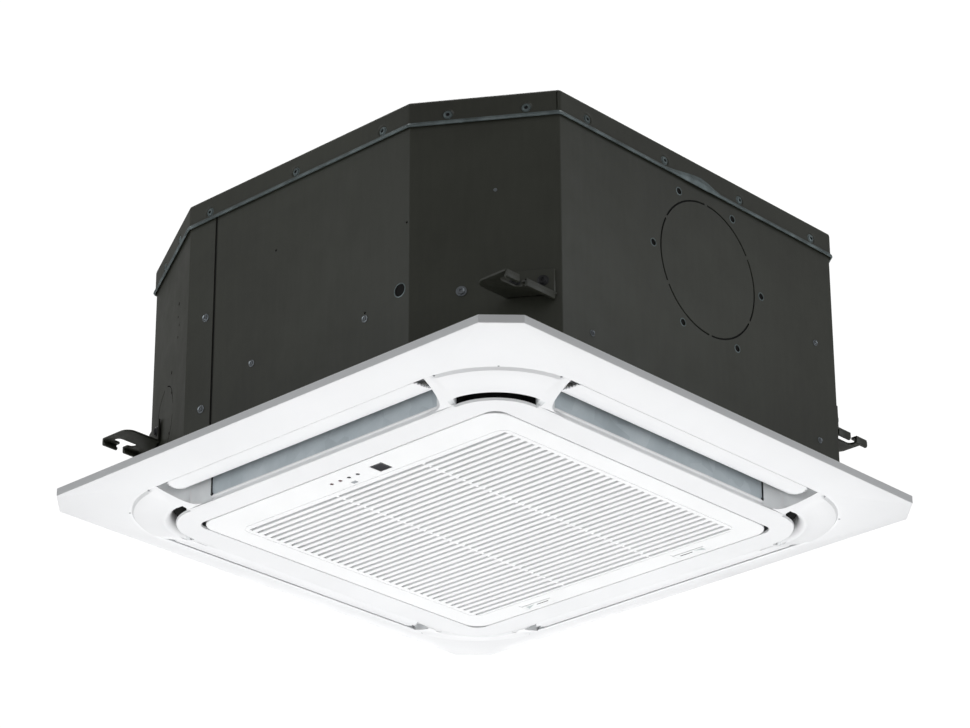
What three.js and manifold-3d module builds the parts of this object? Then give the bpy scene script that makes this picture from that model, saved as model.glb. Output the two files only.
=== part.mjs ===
// Ceiling cassette air conditioner, 650 mm panel on a 580 x 570 x 290 mm body.
// Millimetres, +Z up. Origin: centre of the ceiling plane, on which the panel's rim bears (z = 0).
// The body with the fan and the coil stands above it, the panel with grille and louvres hangs below it.
import * as THREE from 'three';
import { mergeVertices } from 'three/addons/utils/BufferGeometryUtils.js';
import Module from 'manifold-3d';

const wasm = await Module();
wasm.setup();

// ---------- driving dimensions ----------
const PANEL = 325;            // half size of the panel
const PANEL_CH = 30;          // corner chamfer of the panel
const RIM = 8.4;              // height of the panel's rim
const LINE1 = 285;            // half size of the line along the outlets' outer edges
const LINE1_R = 98;           // its corner radius
const ISLAND = 244.3;         // half size of the raised middle
const ISLAND_R = 57.3;
const Z1 = -18.0;             // underside at LINE1
const ZI = -30.6;             // underside of the middle and of the grille
const SHELL = 2.8;            // panel wall
const OPENING = 210;          // half size of the grille opening
const GRILLE = 208.6;         // half size of the grille
const GRILLE_R = 20;
const OUT_X = 188;            // half length of an outlet
const OUT_R = 40;             // inner corner radius of an outlet
const SLOT_R0 = 57, SLOT_R1 = 64.5; // corner air slot
const SLOTS = 36, PITCH = 9.64, SLOT_Y0 = -161.8, SLOT_W = 4.2; // grille slots
const RIBS = [-52.2, 67.4];   // cross ribs of the grille
const SLOT_X = 179;
const BODY_H = 288.8;         // top of the lid's plate
const SKIRT = 26.5;           // height of the lid's skirt
const SHEET = 1.2;            // casing sheet
const PAN0 = 3, PAN1 = 52;    // drain pan, bottom and top
const BRK_Z = 67;             // hanger brackets
const PIV_Y = 282, PIV_Z = -12; // louvre pivots
const FAN_R = 160;

// outline of the lid, counter-clockwise seen from above
const BODY = [[-151.4, -285], [165.6, -285], [291, -203.3], [291, 222.9], [210, 285], [-190, 285], [-291, 190], [-291, -208]];

// ---------- helpers ----------
const group = new THREE.Group();
group.name = 'ceiling_cassette';
const WHITE = [0xf2f3f5, 0.45, 0], DARK = [0x3b3d38, 0.42, 0.55], STEEL = [0xa9afb2, 0.4, 0.85], FOAM = [0xe4e4e0, 0.95, 0],
  COPPER = [0xb87048, 0.35, 0.9], BLACK = [0x17181a, 0.5, 0], BRASS = [0xc2a15a, 0.35, 0.9], ALU = [0xc4c8ca, 0.4, 0.8],
  GREY = [0x8b9298, 0.5, 0.1], GREEN = [0x2f6b3c, 0.6, 0];

function clean(geometry) {
  const g = geometry.index ? geometry.toNonIndexed() : geometry.clone();
  for (const k of Object.keys(g.attributes)) if (k !== 'position') g.deleteAttribute(k);
  return mergeVertices(g, 1e-3);
}
function solid(geometry) {
  const g = clean(geometry);
  const idx = Array.from(g.index.array), p = g.attributes.position.array;
  const tri = [];
  for (let i = 0; i < idx.length; i += 3) {
    const [a, b, c] = [idx[i], idx[i + 1], idx[i + 2]];
    if (a !== b && b !== c && a !== c) tri.push(a, b, c);
  }
  let vol = 0;
  for (let i = 0; i < tri.length; i += 3) {
    const A = tri[i] * 3, B = tri[i + 1] * 3, C = tri[i + 2] * 3;
    vol += p[A] * (p[B + 1] * p[C + 2] - p[B + 2] * p[C + 1]) + p[A + 1] * (p[B + 2] * p[C] - p[B] * p[C + 2]) + p[A + 2] * (p[B] * p[C + 1] - p[B + 1] * p[C]);
  }
  if (vol < 0) for (let i = 0; i < tri.length; i += 3) { const t = tri[i]; tri[i] = tri[i + 1]; tri[i + 1] = t; }
  return new wasm.Manifold(new wasm.Mesh({ numProp: 3, vertProperties: new Float32Array(p), triVerts: new Uint32Array(tri) }));
}
function geo(m) {
  const mesh = m.getMesh();
  const g = new THREE.BufferGeometry();
  const n = mesh.numProp, v = mesh.vertProperties, pos = new Float32Array(v.length / n * 3);
  for (let i = 0; i < v.length / n; i++) { pos[3 * i] = v[n * i]; pos[3 * i + 1] = v[n * i + 1]; pos[3 * i + 2] = v[n * i + 2]; }
  g.setAttribute('position', new THREE.BufferAttribute(pos, 3));
  g.setIndex(new THREE.BufferAttribute(new Uint32Array(mesh.triVerts), 1));
  return g;
}
function piece(name, body, look) {
  const g = body.getMesh ? geo(body) : clean(body);
  const m = new THREE.Mesh(g, new THREE.MeshStandardMaterial({ color: look[0], roughness: look[1], metalness: look[2] }));
  m.name = name;
  group.add(m);
  return m;
}
const shape = (pts) => new THREE.Shape(pts.map(([x, y]) => new THREE.Vector2(x, y)));
function prism(pts, z0, z1, holes = []) {
  const s = shape(pts);
  for (const h of holes) s.holes.push(new THREE.Path(h.map(([x, y]) => new THREE.Vector2(x, y))));
  const g = new THREE.ExtrudeGeometry(s, { depth: z1 - z0, bevelEnabled: false, curveSegments: 1 });
  g.translate(0, 0, z0);
  return g;
}
const prismM = (pts, z0, z1, holes) => solid(prism(pts, z0, z1, holes));
function box(x0, x1, y0, y1, z0, z1) {
  const g = new THREE.BoxGeometry(x1 - x0, y1 - y0, z1 - z0);
  g.translate((x0 + x1) / 2, (y0 + y1) / 2, (z0 + z1) / 2);
  return g;
}
const boxM = (...a) => solid(box(...a));
function circle(cx, cy, r, n = 16, a0 = 0) {
  const o = [];
  for (let i = 0; i < n; i++) { const a = a0 + i * 2 * Math.PI / n; o.push([cx + r * Math.cos(a), cy + r * Math.sin(a)]); }
  return o;
}
function arcPts(cx, cy, r, a0, a1, n) {
  const o = [];
  for (let i = 0; i <= n; i++) { const a = (a0 + (a1 - a0) * i / n) * Math.PI / 180; o.push([cx + r * Math.cos(a), cy + r * Math.sin(a)]); }
  return o;
}
function lathe(profile, n, cx = 0, cy = 0) { // profile of [r, z], closed on itself
  const g = new THREE.LatheGeometry([...profile, profile[0]].map(([r, z]) => new THREE.Vector2(r, z)), n);
  g.rotateX(Math.PI / 2);
  g.translate(cx, cy, 0);
  return solid(g);
}
function offset(pts, d) { // convex outline, counter-clockwise, d > 0 inward
  const n = pts.length, out = [];
  for (let i = 0; i < n; i++) {
    const a = pts[(i + n - 1) % n], b = pts[i], c = pts[(i + 1) % n];
    const u = [b[0] - a[0], b[1] - a[1]], v = [c[0] - b[0], c[1] - b[1]];
    const lu = Math.hypot(...u), lv = Math.hypot(...v);
    const nu = [-u[1] / lu, u[0] / lu], nv = [-v[1] / lv, v[0] / lv];
    const k = d / (1 + nu[0] * nv[0] + nu[1] * nv[1]);
    out.push([b[0] + (nu[0] + nv[0]) * k, b[1] + (nu[1] + nv[1]) * k]);
  }
  return out;
}
const NC = 8; // stations per corner
function roundSq(h, r, n = NC) { // rounded square, counter-clockwise from the +X -Y corner
  const o = [];
  [[1, -1, -90], [1, 1, 0], [-1, 1, 90], [-1, -1, 180]].forEach(([sx, sy, a0]) => {
    for (let i = 0; i < n; i++) { const a = (a0 + 90 * i / (n - 1)) * Math.PI / 180; o.push([sx * (h - r) + r * Math.cos(a), sy * (h - r) + r * Math.sin(a)]); }
  });
  return o;
}
function chamSq(h, c, n = NC) {
  const o = [];
  [[h - c, -h, h, -h + c], [h, h - c, h - c, h], [-h + c, h, -h, h - c], [-h, -h + c, -h + c, -h]].forEach(([x0, y0, x1, y1]) => {
    for (let i = 0; i < n; i++) { const t = i / (n - 1); o.push([x0 + (x1 - x0) * t, y0 + (y1 - y0) * t]); }
  });
  return o;
}
function loftRing(sections) { // closed ring of outlines with z: every outline has the same number of points
  const m = sections.length, n = sections[0][0].length, pos = [];
  const P = (i, j) => { const [o, z] = sections[i % m]; const q = o[j % n]; return [q[0], q[1], z]; };
  for (let i = 0; i < m; i++) for (let j = 0; j < n; j++) {
    const a = P(i, j), b = P(i, j + 1), c = P(i + 1, j + 1), d = P(i + 1, j);
    pos.push(...a, ...b, ...c, ...a, ...c, ...d);
  }
  const g = new THREE.BufferGeometry();
  g.setAttribute('position', new THREE.Float32BufferAttribute(pos, 3));
  return solid(g);
}
function loftSolid(sections) { // capped stack of outlines with z
  const m = sections.length, n = sections[0][0].length, pos = [];
  const P = (i, j) => { const [o, z] = sections[i]; const q = o[j % n]; return [q[0], q[1], z]; };
  for (let i = 0; i < m - 1; i++) for (let j = 0; j < n; j++) {
    const a = P(i, j), b = P(i, j + 1), c = P(i + 1, j + 1), d = P(i + 1, j);
    pos.push(...a, ...b, ...c, ...a, ...c, ...d);
  }
  for (const [i, flip] of [[0, true], [m - 1, false]]) { // fans about the middle: every outline used here is convex
    const [o, z] = sections[i];
    const c = [o.reduce((s, q) => s + q[0], 0) / n, o.reduce((s, q) => s + q[1], 0) / n, z];
    for (let j = 0; j < n; j++) pos.push(...(flip ? [...P(i, j + 1), ...P(i, j), ...c] : [...P(i, j), ...P(i, j + 1), ...c]));
  }
  const g = new THREE.BufferGeometry();
  g.setAttribute('position', new THREE.Float32BufferAttribute(pos, 3));
  return solid(g);
}
function turned(m, quarter) { // turn about +Z by quarter turns
  const g = geo(m);
  g.rotateZ(quarter * Math.PI / 2);
  return solid(g);
}
function along(geometry, from, dir) { // a solid made along +Z, moved to lie along dir from a point
  const q = new THREE.Quaternion().setFromUnitVectors(new THREE.Vector3(0, 0, 1), new THREE.Vector3(...dir).normalize());
  geometry.applyQuaternion(q);
  geometry.translate(...from);
  return geometry;
}
function cylX(r, x0, x1, y, z, n = 12) {
  const g = new THREE.CylinderGeometry(r, r, x1 - x0, n);
  g.rotateZ(Math.PI / 2);
  g.translate((x0 + x1) / 2, y, z);
  return solid(g);
}
const mirrorX = (pts) => pts.map(([x, y]) => [-x, y]).reverse();

// ---------- panel ----------
const UNDER = [ // underside outlines from the rim to the grille opening, with z
  [chamSq(PANEL, PANEL_CH), -RIM], [roundSq(LINE1 + 0.6, LINE1_R + 0.6), Z1], [roundSq(LINE1 - 0.8, LINE1_R - 0.8), Z1 - 1.9],
  [roundSq(ISLAND + 6.6, ISLAND_R + 6.6), -27.2], [roundSq(ISLAND, ISLAND_R), -27.6], [roundSq(ISLAND - 1.1, ISLAND_R - 1.1), -29.6], [roundSq(ISLAND - 4, ISLAND_R - 4), ZI],
  [roundSq(OPENING, 12), ZI],
];
const BACK = [
  [roundSq(OPENING, 12), ZI + SHELL], [roundSq(218, 24), ZI + SHELL], [roundSq(218, 24), -7], [roundSq(221, 27), -7], [roundSq(221, 27), ZI + SHELL],
  [roundSq(ISLAND - 4, ISLAND_R - 4), ZI + SHELL], [roundSq(ISLAND - 2.2, ISLAND_R - 2.2), -26.5], [roundSq(ISLAND + 6, ISLAND_R + 6), -26.5 + 2.2],
  [roundSq(LINE1 - 1.6, LINE1_R - 1.6), Z1 + 1.2], [roundSq(LINE1 + 0.6, LINE1_R + 0.6), Z1 + SHELL], [chamSq(PANEL - 3, PANEL_CH - 1.8), -RIM + SHELL + 0.3], [chamSq(PANEL - 3, PANEL_CH - 1.8), 0], [chamSq(PANEL, PANEL_CH), 0],
];
const shell = loftRing([...UNDER, ...BACK]);
const volume = loftSolid([[chamSq(PANEL, PANEL_CH), 0.2], ...UNDER.slice(0, 7)].reverse()); // everything above the underside
// outlet duct, for the side at -Y
function outletPlan(yo, xo, r, d = 0) { // outer edge at -yo, inner edge at -244, corner radius r, grown by d
  const yi = -244.1 + d;
  return [[-xo - d, -yo - d], [xo + d, -yo - d], ...arcPts(xo - r, yi - r, r + 0, 0, 90, 6).map(([x, y]) => [x + (x > xo - r + 0.01 ? d : 0), y]), ...arcPts(-xo + r, yi - r, r, 90, 180, 6).map(([x, y]) => [x - (x < -xo + r - 0.01 ? d : 0), y])];
}
const duct = loftSolid([[outletPlan(285, OUT_X, OUT_R), -40], [outletPlan(285, OUT_X, OUT_R), Z1 + 2.6], [outletPlan(289.5, OUT_X + 1.5, OUT_R), Z1 + 2.7], [outletPlan(289.5, OUT_X + 1.5, OUT_R), -12], [outletPlan(271, OUT_X - 8, 26), 0], [outletPlan(271, OUT_X - 8, 26), 5]]);
const collar = loftSolid([[outletPlan(289.5, OUT_X + 1.5, OUT_R, 2.4), -34], [outletPlan(289.5, OUT_X + 1.5, OUT_R, 2.4), -12], [outletPlan(271, OUT_X - 8, 26, 2.4), 0.2], [outletPlan(271, OUT_X - 8, 26, 2.4), 0.3]]);
const insideIsland = prismM(roundSq(ISLAND + 0.3, ISLAND_R + 0.3), -26.4, 5);
const seatWall = loftRing([[offset(BODY, 5), -19], [offset(BODY, 5), 0.1], [offset(BODY, 8), 0.1], [offset(BODY, 8), -19]]).intersect(volume).subtract(turned(boxM(192, 206, -292, -262, -17.6, 2), 0)).subtract(turned(boxM(192, 206, -292, -262, -17.6, 2), 1)).subtract(turned(boxM(192, 206, -292, -262, -17.6, 2), 2)).subtract(turned(boxM(192, 206, -292, -262, -17.6, 2), 3));
let panel = shell.add(seatWall);
for (let k = 0; k < 4; k++) panel = panel.add(turned(collar, k).intersect(volume).subtract(insideIsland));
// corner pockets, covers, air slots
const CC = ISLAND - ISLAND_R; // centre of the corner arcs
function sector(r0, r1, a0, a1, n = 6) { return [...arcPts(CC, -CC, r1, a0, a1, n), ...arcPts(CC, -CC, r0, a1, a0, n)]; }
const pocketWall = prismM(sector(66.5, 99.5, -74, -16), -26, -8.4);
const pocketHole = prismM(sector(70, 96.6, -72, -18), -40, -10.6);
const screwHole = prismM(circle(245, -245, 3.2, 10), -30, 5);
const coverPlan = prismM(sector(70.4, 96.2, -71.7, -18.3), -40, -5);
const covers = [];
for (let k = 0; k < 4; k++) {
  panel = panel.add(turned(pocketWall.intersect(volume), k));
  covers.push(turned(shell.intersect(coverPlan).add(prismM(circle(262, -228, 3.2, 8), -22, -12.4).add(prismM(circle(228, -262, 3.2, 8), -22, -12.4)).intersect(volume)), k));
}
for (let k = 0; k < 4; k++) {
  panel = panel.subtract(turned(pocketHole, k)).subtract(turned(screwHole, k));
  panel = panel.subtract(turned(prismM(sector(SLOT_R0 + 0.4, SLOT_R1, -86, -4, 8), -40, 5), k)).subtract(turned(duct, k));
  for (const s of [-1, 1]) panel = panel.subtract(turned(cylX(2.6, s > 0 ? 172 : -200, s > 0 ? 200 : -172, -PIV_Y, PIV_Z, 10), k));
}
// hinge ears for the grille, on the -Y side
const HX = [-150, 150], HY = -203, HZ = -27;
for (const x of HX) for (const s of [-1, 1]) {
  const e = boxM(x + s * 9 - 2, x + s * 9 + 2, -219, -200.5, -25.2, -13).add(boxM(x + s * 9 - 2, x + s * 9 + 2, -206, -200.5, -29.2, -20)).subtract(cylX(1.9, x + s * 9 - 4, x + s * 9 + 4, HY, HZ, 10));
  panel = panel.add(e);
}
piece('panel_frame', panel, WHITE);
['front_right', 'back_right', 'back_left', 'front_left'].forEach((n, k) => piece('corner_cover_' + n, covers[k], WHITE));
HX.forEach((x, i) => piece('grille_hinge_pin_' + (i ? 'right' : 'left'), cylX(1.5, x - 11.5, x + 11.5, HY, HZ, 10), STEEL));
for (let k = 0; k < 4; k++) { // panel screws, head in the corner pocket
  const s = prismM(circle(245, -245, 5.5, 6), -14.6, -10.9).add(prismM(circle(245, -245, 2.7, 8), -10.95, 9));
  piece('panel_screw_' + ['front_right', 'back_right', 'back_left', 'front_left'][k], turned(s, k), STEEL);
}
// foam seal between the panel and the body
let seal = prismM(offset(BODY, 3.2), 0.5, 2.6, [offset(BODY, 12)]);
for (let k = 0; k < 4; k++) seal = seal.subtract(turned(prismM(circle(245, -245, 3.6, 10), 0, 3), k));
piece('panel_seal', seal, BLACK);
// sheet-metal sleeve that is the inner wall of the four outlets
piece('discharge_sleeve', loftRing([[roundSq(243.8, 56.8), -25.6], [roundSq(243.8, 56.8), 0.2], [roundSq(242.6, 55.6), 0.2], [roundSq(242.6, 55.6), -25.6]]), STEEL);

// ---------- louvres and their motors ----------
function louvre() {
  const n = 8, chord = 36, sag = 5, t = 2.2, a = 14 * Math.PI / 180, o = [-283.6, -16.2], up = [], low = [];
  for (let i = 0; i <= n; i++) {
    const u = i / n, w = -sag * 4 * u * (1 - u);
    for (const [arr, d] of [[low, 0], [up, t * (0.45 + 2.2 * u * (1 - u))]]) {
      const x = chord * u, y = w + d;
      arr.push([o[0] + x * Math.cos(a) - y * Math.sin(a), o[1] + x * Math.sin(a) + y * Math.cos(a)]);
    }
  }
  const sec = [...low, ...up.reverse()];
  const g = prism(sec, -166, 166);           // section in (y, z), length along what becomes x
  g.applyMatrix4(new THREE.Matrix4().set(0, 0, 1, 0, 1, 0, 0, 0, 0, 1, 0, 0, 0, 0, 0, 1));
  let m = solid(g).intersect(prismM([[-167, -290], [167, -290], [167, -264], [153, -245], [-153, -245], [-167, -264]], -40, 10));
  for (const s of [-1, 1]) {
    const arm = prism([[-283.2, -15.6], [-270, -16.6], [-276, -13], [-279.4, -10.6], [-281, -9.3], [-283, -9.3], [-284.6, -10.6], [-285, -12.4]], s > 0 ? 161.5 : -165, s > 0 ? 165 : -161.5);
    arm.applyMatrix4(new THREE.Matrix4().set(0, 0, 1, 0, 1, 0, 0, 0, 0, 1, 0, 0, 0, 0, 0, 1));
    m = m.add(solid(arm)).add(cylX(1.9, s > 0 ? 164 : -198, s > 0 ? 198 : -164, -PIV_Y, PIV_Z, 10));
  }
  return m;
}
const blade = louvre();
const SIDES = ['front', 'right', 'back', 'left'];
SIDES.forEach((n, k) => piece('louvre_' + n, turned(blade, k), WHITE));
const swing = cylX(3.9, 193.4, 198.4, -PIV_Y, PIV_Z, 12).subtract(cylX(2.2, 190, 198.1, -PIV_Y, PIV_Z, 10)).add(cylX(7.6, 198.2, 204.6, -276.4, -8.6, 14));
SIDES.forEach((n, k) => piece('louvre_motor_' + n, turned(swing, k), STEEL));

// ---------- intake grille, filter, latches, display ----------
const holes = [];
const ends = [-SLOT_X, ...RIBS, SLOT_X];
for (let i = 0; i < SLOTS; i++) {
  const y = SLOT_Y0 + PITCH * i;
  for (let s = 0; s < 3; s++) {
    const x0 = ends[s] + (s ? 2.2 : 0), x1 = ends[s + 1] - (s < 2 ? 2.2 : 0);
    holes.push([[x0, y - SLOT_W / 2], [x0, y + SLOT_W / 2], [x1, y + SLOT_W / 2], [x1, y - SLOT_W / 2]]);
  }
}
const LATCH_X = [-107, 108];
const rect = (x0, x1, y0, y1) => [[x0, y0], [x0, y1], [x1, y1], [x1, y0]];
const cuts = [...LATCH_X.map((x) => rect(x - 21, x + 21, 188.3, 204.4)), rect(24.6, 41.8, -195, -177.8), rect(-15.8, -8.8, -180.2, -174.6)];
for (const x of [-32.7, -20.5, -8.2, 4]) cuts.push(circle(x, -189.4, 2.2, 8));
let grille = prismM(roundSq(GRILLE, GRILLE_R), ZI, ZI + 3);
for (const h of [...holes, ...cuts]) grille = grille.subtract(prismM(h, ZI - 1, ZI + 4));
grille = grille.add(loftRing([[roundSq(GRILLE - 0.6, GRILLE_R - 0.6), ZI + 2.5], [roundSq(GRILLE - 0.6, GRILLE_R - 0.6), -17], [roundSq(GRILLE - 3, GRILLE_R - 3), -17], [roundSq(GRILLE - 3, GRILLE_R - 3), ZI + 2.5]]));
// clear the rim around the hinge ears, the latches' tongues and the front corner that turns inward
for (const x of HX) grille = grille.subtract(boxM(x - 12, x + 12, -212, -199, -28.4, -10));
for (const x of HX) grille = grille.subtract(boxM(x - 12, x - 5.6, -212, -199, -32, -10)).subtract(boxM(x + 5.6, x + 12, -212, -199, -32, -10));
for (const x of HX) grille = grille.add(boxM(x - 5, x + 5, -206, -199.6, -30.4, -23.8)).add(boxM(x - 5, x + 5, -201, -195, -28, -23.8)).subtract(cylX(1.9, x - 8, x + 8, HY, HZ, 10));
for (const x of LATCH_X) grille = grille.subtract(boxM(x - 15.4, x + 15.4, 200, 214, -27.55, -21));
for (const x of LATCH_X) grille = grille.add(boxM(x - 24.5, x - 21.2, 189, 204, -28, -21.4)).add(boxM(x + 21.2, x + 24.5, 189, 204, -28, -21.4));
piece('intake_grille', grille, WHITE);
const LATCH = (x) => boxM(x - 20.4, x + 20.4, 194.2, 203.8, ZI, -27.2).add(boxM(x - 14.8, x + 14.8, 194.2, 214, -27.25, -24.4)).subtract(boxM(x - 15, x + 15, 196.4, 201.6, -31, -29));
LATCH_X.forEach((x, i) => piece('grille_latch_' + (i ? 'right' : 'left'), LATCH(x), WHITE));
// filter: frame with cross bars, and the net
const FX = 192, FY0 = -167, FY1 = 184;
const win = [];
for (let i = 0; i < 4; i++) for (let j = 0; j < 3; j++) {
  const w = (2 * FX - 16 - 9) / 4, h = (FY1 - FY0 - 16 - 6) / 3;
  const x0 = -FX + 8 + i * (w + 3), y0 = FY0 + 8 + j * (h + 3);
  win.push(rect(x0, x0 + w, y0, y0 + h));
}
const fo = [[-FX, FY0], [FX, FY0], [FX, FY1], [-FX, FY1]];
let ff = prismM(fo, -27.2, -22.2);
for (const w of win) ff = ff.subtract(prismM(w, -28, -22));
piece('filter_frame', ff, GREY);
piece('filter_net', prism([[-FX + 3, FY0 + 3], [FX - 3, FY0 + 3], [FX - 3, FY1 - 3], [-FX + 3, FY1 - 3]], -21.8, -21.2), BLACK);
// display
let board = boxM(-46, 48, -198.6, -170.6, -26.4, -24.8);
for (const x of [-32.7, -20.5, -8.2, 4]) board = board.add(prismM(circle(x, -189.4, 1.8, 8), -30.5, -26));
board = board.add(boxM(-14, -10.6, -179, -175.8, -26.8, -26));
piece('display_board', board, GREEN);
piece('receiver_window', boxM(25, 41.4, -194.6, -178.2, -30.9, -27.9), BLACK);
piece('test_button', boxM(-15.4, -9.2, -179.8, -175, -30.7, -28.2).add(boxM(-13.4, -11.2, -178.4, -176.4, -28.3, -27.6)), GREY);

// ---------- body: sheets, lid, plate ----------
const out = offset(BODY, 1.7), inn = offset(BODY, 1.7 + SHEET);
const SEAM_F = -113, SEAM_B = -140;
const yF = out[0][1], yFi = inn[0][1], yB = out[4][1], yBi = inn[4][1];
let main = prismM([[SEAM_F + 0.4, yF], out[1], out[2], out[3], out[4], [SEAM_B + 0.4, yB], [SEAM_B + 0.4, yBi], inn[4], inn[3], inn[2], inn[1], [SEAM_F + 0.4, yFi]], PAN0, 286.6);
// branch-duct knock-out: a ring of slits that leaves six bridges, and the screw holes round it
const KY = 18.6, KZ = 172.3, KR = 73;
for (let i = 0; i < 6; i++) {
  const a0 = i * 60 + 4 + 30, a1 = i * 60 + 56 + 30;
  const s = prism([...arcPts(0, 0, KR + 0.8, a0, a1, 7), ...arcPts(0, 0, KR - 0.8, a1, a0, 7)], 280, 300);
  s.applyMatrix4(new THREE.Matrix4().set(0, 0, 1, 0, 1, 0, 0, KY, 0, 1, 0, KZ, 0, 0, 0, 1));
  main = main.subtract(solid(s));
}
for (let i = 0; i < 6; i++) {
  const c = prism(circle(KY + 84.3 * Math.cos(i * Math.PI / 3), KZ + 84.3 * Math.sin(i * Math.PI / 3), 2.2, 8), 280, 300);
  c.applyMatrix4(new THREE.Matrix4().set(0, 0, 1, 0, 1, 0, 0, 0, 0, 1, 0, 0, 0, 0, 0, 1));
  main = main.subtract(solid(c));
}
const cableHole = prism(circle(153, 88, 6.2, 14), 270, 300);
cableHole.applyMatrix4(new THREE.Matrix4().set(1, 0, 0, 0, 0, 0, -1, 0, 0, 1, 0, 0, 0, 0, 0, 1));
main = main.subtract(solid(cableHole));
// tabs at the corners, into which the panel's four screws go
const tab = (cx, cy, dx, dy) => { // centre of the screw and the direction from it to the sheet
  const l = Math.hypot(dx, dy), u = [dx / l, dy / l], v = [-u[1], u[0]], q = (a, b) => [cx + u[0] * a + v[0] * b, cy + u[1] * a + v[1] * b];
  return prismM([q(-8, -10), q(-8, 10), q(l, 10), q(l, -10)], PAN0 + 0.2, PAN0 + 1.7).subtract(prismM(circle(cx, cy, 3.1, 10), 0, 10));
};
main = main.add(tab(245, -245, -6.6, 10.1)).add(tab(245, 245, 7.4, 9.6));
piece('casing_main_sheet', main, DARK);
let left = prismM([[SEAM_F, yF], [SEAM_F, yFi], inn[0], inn[7], inn[6], inn[5], [SEAM_B, yBi], [SEAM_B, yB], out[5], out[6], out[7], out[0]].reverse(), PAN0, 286.6);
// chamfer that carries the pipes: n is its outward normal, m its middle
const G = out[5], H = out[6];
const len = Math.hypot(H[0] - G[0], H[1] - G[1]);
const T = [(H[0] - G[0]) / len, (H[1] - G[1]) / len], N = [T[1], -T[0]].map((v) => v); // T runs from G to H
const M = [(G[0] + H[0]) / 2, (G[1] + H[1]) / 2];
const at = (t, d, z) => [M[0] + T[0] * t + N[0] * d, M[1] + T[1] * t + N[1] * d, z];
function slab(t0, t1, d0, d1, z0, z1) { // block on the chamfer: t along it, d outward
  return prismM([at(t0, d0, 0), at(t1, d0, 0), at(t1, d1, 0), at(t0, d1, 0)].map(([x, y]) => [x, y]), z0, z1);
}
left = left.subtract(slab(-48, 48, -6, 6, 106, 246)).add(tab(-245, 245, 7.2, -7.7)).add(tab(-245, -245, 5.9, 10.8));
piece('casing_left_sheet', left, DARK);
let plate = slab(-56, 56, 0.4, 1.6, 98, 254);
const PIPES = { gas: [24, 128, 6.35, 5.3], liquid: [-26, 128, 4.4, 3.5], drain: [-4, 206, 16, 13] };
const tubeG = (r, l, n = 16) => { const g = new THREE.CylinderGeometry(r, r, l, n); g.rotateX(Math.PI / 2); g.translate(0, 0, l / 2); return g; };
for (const [t, z, r] of Object.values(PIPES)) plate = plate.subtract(solid(along(tubeG(r + 1.2, 20), at(t, -8, z), [N[0], N[1], 0])));
piece('pipe_cover_plate', plate, DARK);
function rod(a, b, r, n = 14) { // straight bar between two points
  const d = [b[0] - a[0], b[1] - a[1], b[2] - a[2]];
  return solid(along(tubeG(r, Math.hypot(...d), n), a, d));
}
const ball = (c, r) => { const g = new THREE.SphereGeometry(r, 10, 7); g.translate(...c); return solid(g); };
const ELBOW = { gas: [at(24, -22, 128), [-213, 156, 128]], liquid: [at(-26, -22, 128), [-156, 213, 128]], drain: [at(-4, -19, 206), [-196, 196, 206], [-196, 196, 169.6]] };
for (const [name, [t, z, r, ri]] of Object.entries(PIPES)) {
  const l1 = name === 'drain' ? 44 : name === 'gas' ? 52 : 46, e = ELBOW[name], ir = name === 'drain' ? 7 : r;
  let tube = rod(at(t, -22, z), at(t, l1, z), r, 16).subtract(rod(at(t, -14, z), at(t, l1 + 5, z), ri, 16));
  if (name === 'drain') tube = tube.add(rod(e[0], e[1], 7)).add(ball(e[1], 7.1)).add(rod(e[1], e[2], 7));
  else tube = tube.add(ball(e[0], r * 1.02)).add(rod(e[0], e[1], r));
  piece(name === 'drain' ? 'drain_outlet' : name + '_pipe', tube, name === 'drain' ? WHITE : COPPER);
  if (name !== 'drain') {
    const hex = prism(circle(0, 0, r * 1.75, 6), 0, 15, [circle(0, 0, r + 0.35, 16).reverse()]);
    piece(name + '_flare_nut', along(hex, at(t, l1 - 17, z), [N[0], N[1], 0]), BRASS);
  }
}
// lid: pan with skirt and curled lip, and pressed ribs
let lid = prismM(BODY, BODY_H - SKIRT, BODY_H).subtract(prismM(offset(BODY, 1.3), BODY_H - SKIRT - 1, BODY_H - 1.2));
lid = lid.add(loftRing([[offset(BODY, 1.0), BODY_H - SKIRT + 0.4], [offset(BODY, 1.0), BODY_H - SKIRT - 1.2], [offset(BODY, -0.8), BODY_H - SKIRT - 2], [offset(BODY, -2.2), BODY_H - SKIRT - 1.2], [offset(BODY, -2.2), BODY_H - SKIRT + 0.4], [offset(BODY, -0.6), BODY_H - SKIRT + 1.6], [offset(BODY, 0.6), BODY_H - SKIRT + 1.6]]));
for (const [x0, x1, y0, y1] of [[-235, -215, -170, 150], [215, 235, -170, 170], [-120, 140, -250, -232], [-140, 150, 232, 250]]) lid = lid.add(boxM(x0, x1, y0, y1, BODY_H - 0.6, BODY_H + 1.6));
lid = lid.add(lathe([[96, BODY_H - 0.6], [112, BODY_H - 0.6], [110, BODY_H + 1.6], [98, BODY_H + 1.6]], 28));
piece('casing_lid', lid, DARK);
// insulation cup
let cup = prismM(offset(BODY, 3.3), 52.6, 286.8).subtract(prismM(offset(BODY, 18), 50, 272)).subtract(prismM(circle(0, 0, 76, 20), 260, 290));
cup = cup.subtract(slab(-52, 52, -24, 4, 98, 250));
cup = cup.subtract(boxM(270, 292, KY - 60, KY + 60, KZ - 60, KZ + 60));
piece('insulation_liner', cup, FOAM);
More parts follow.
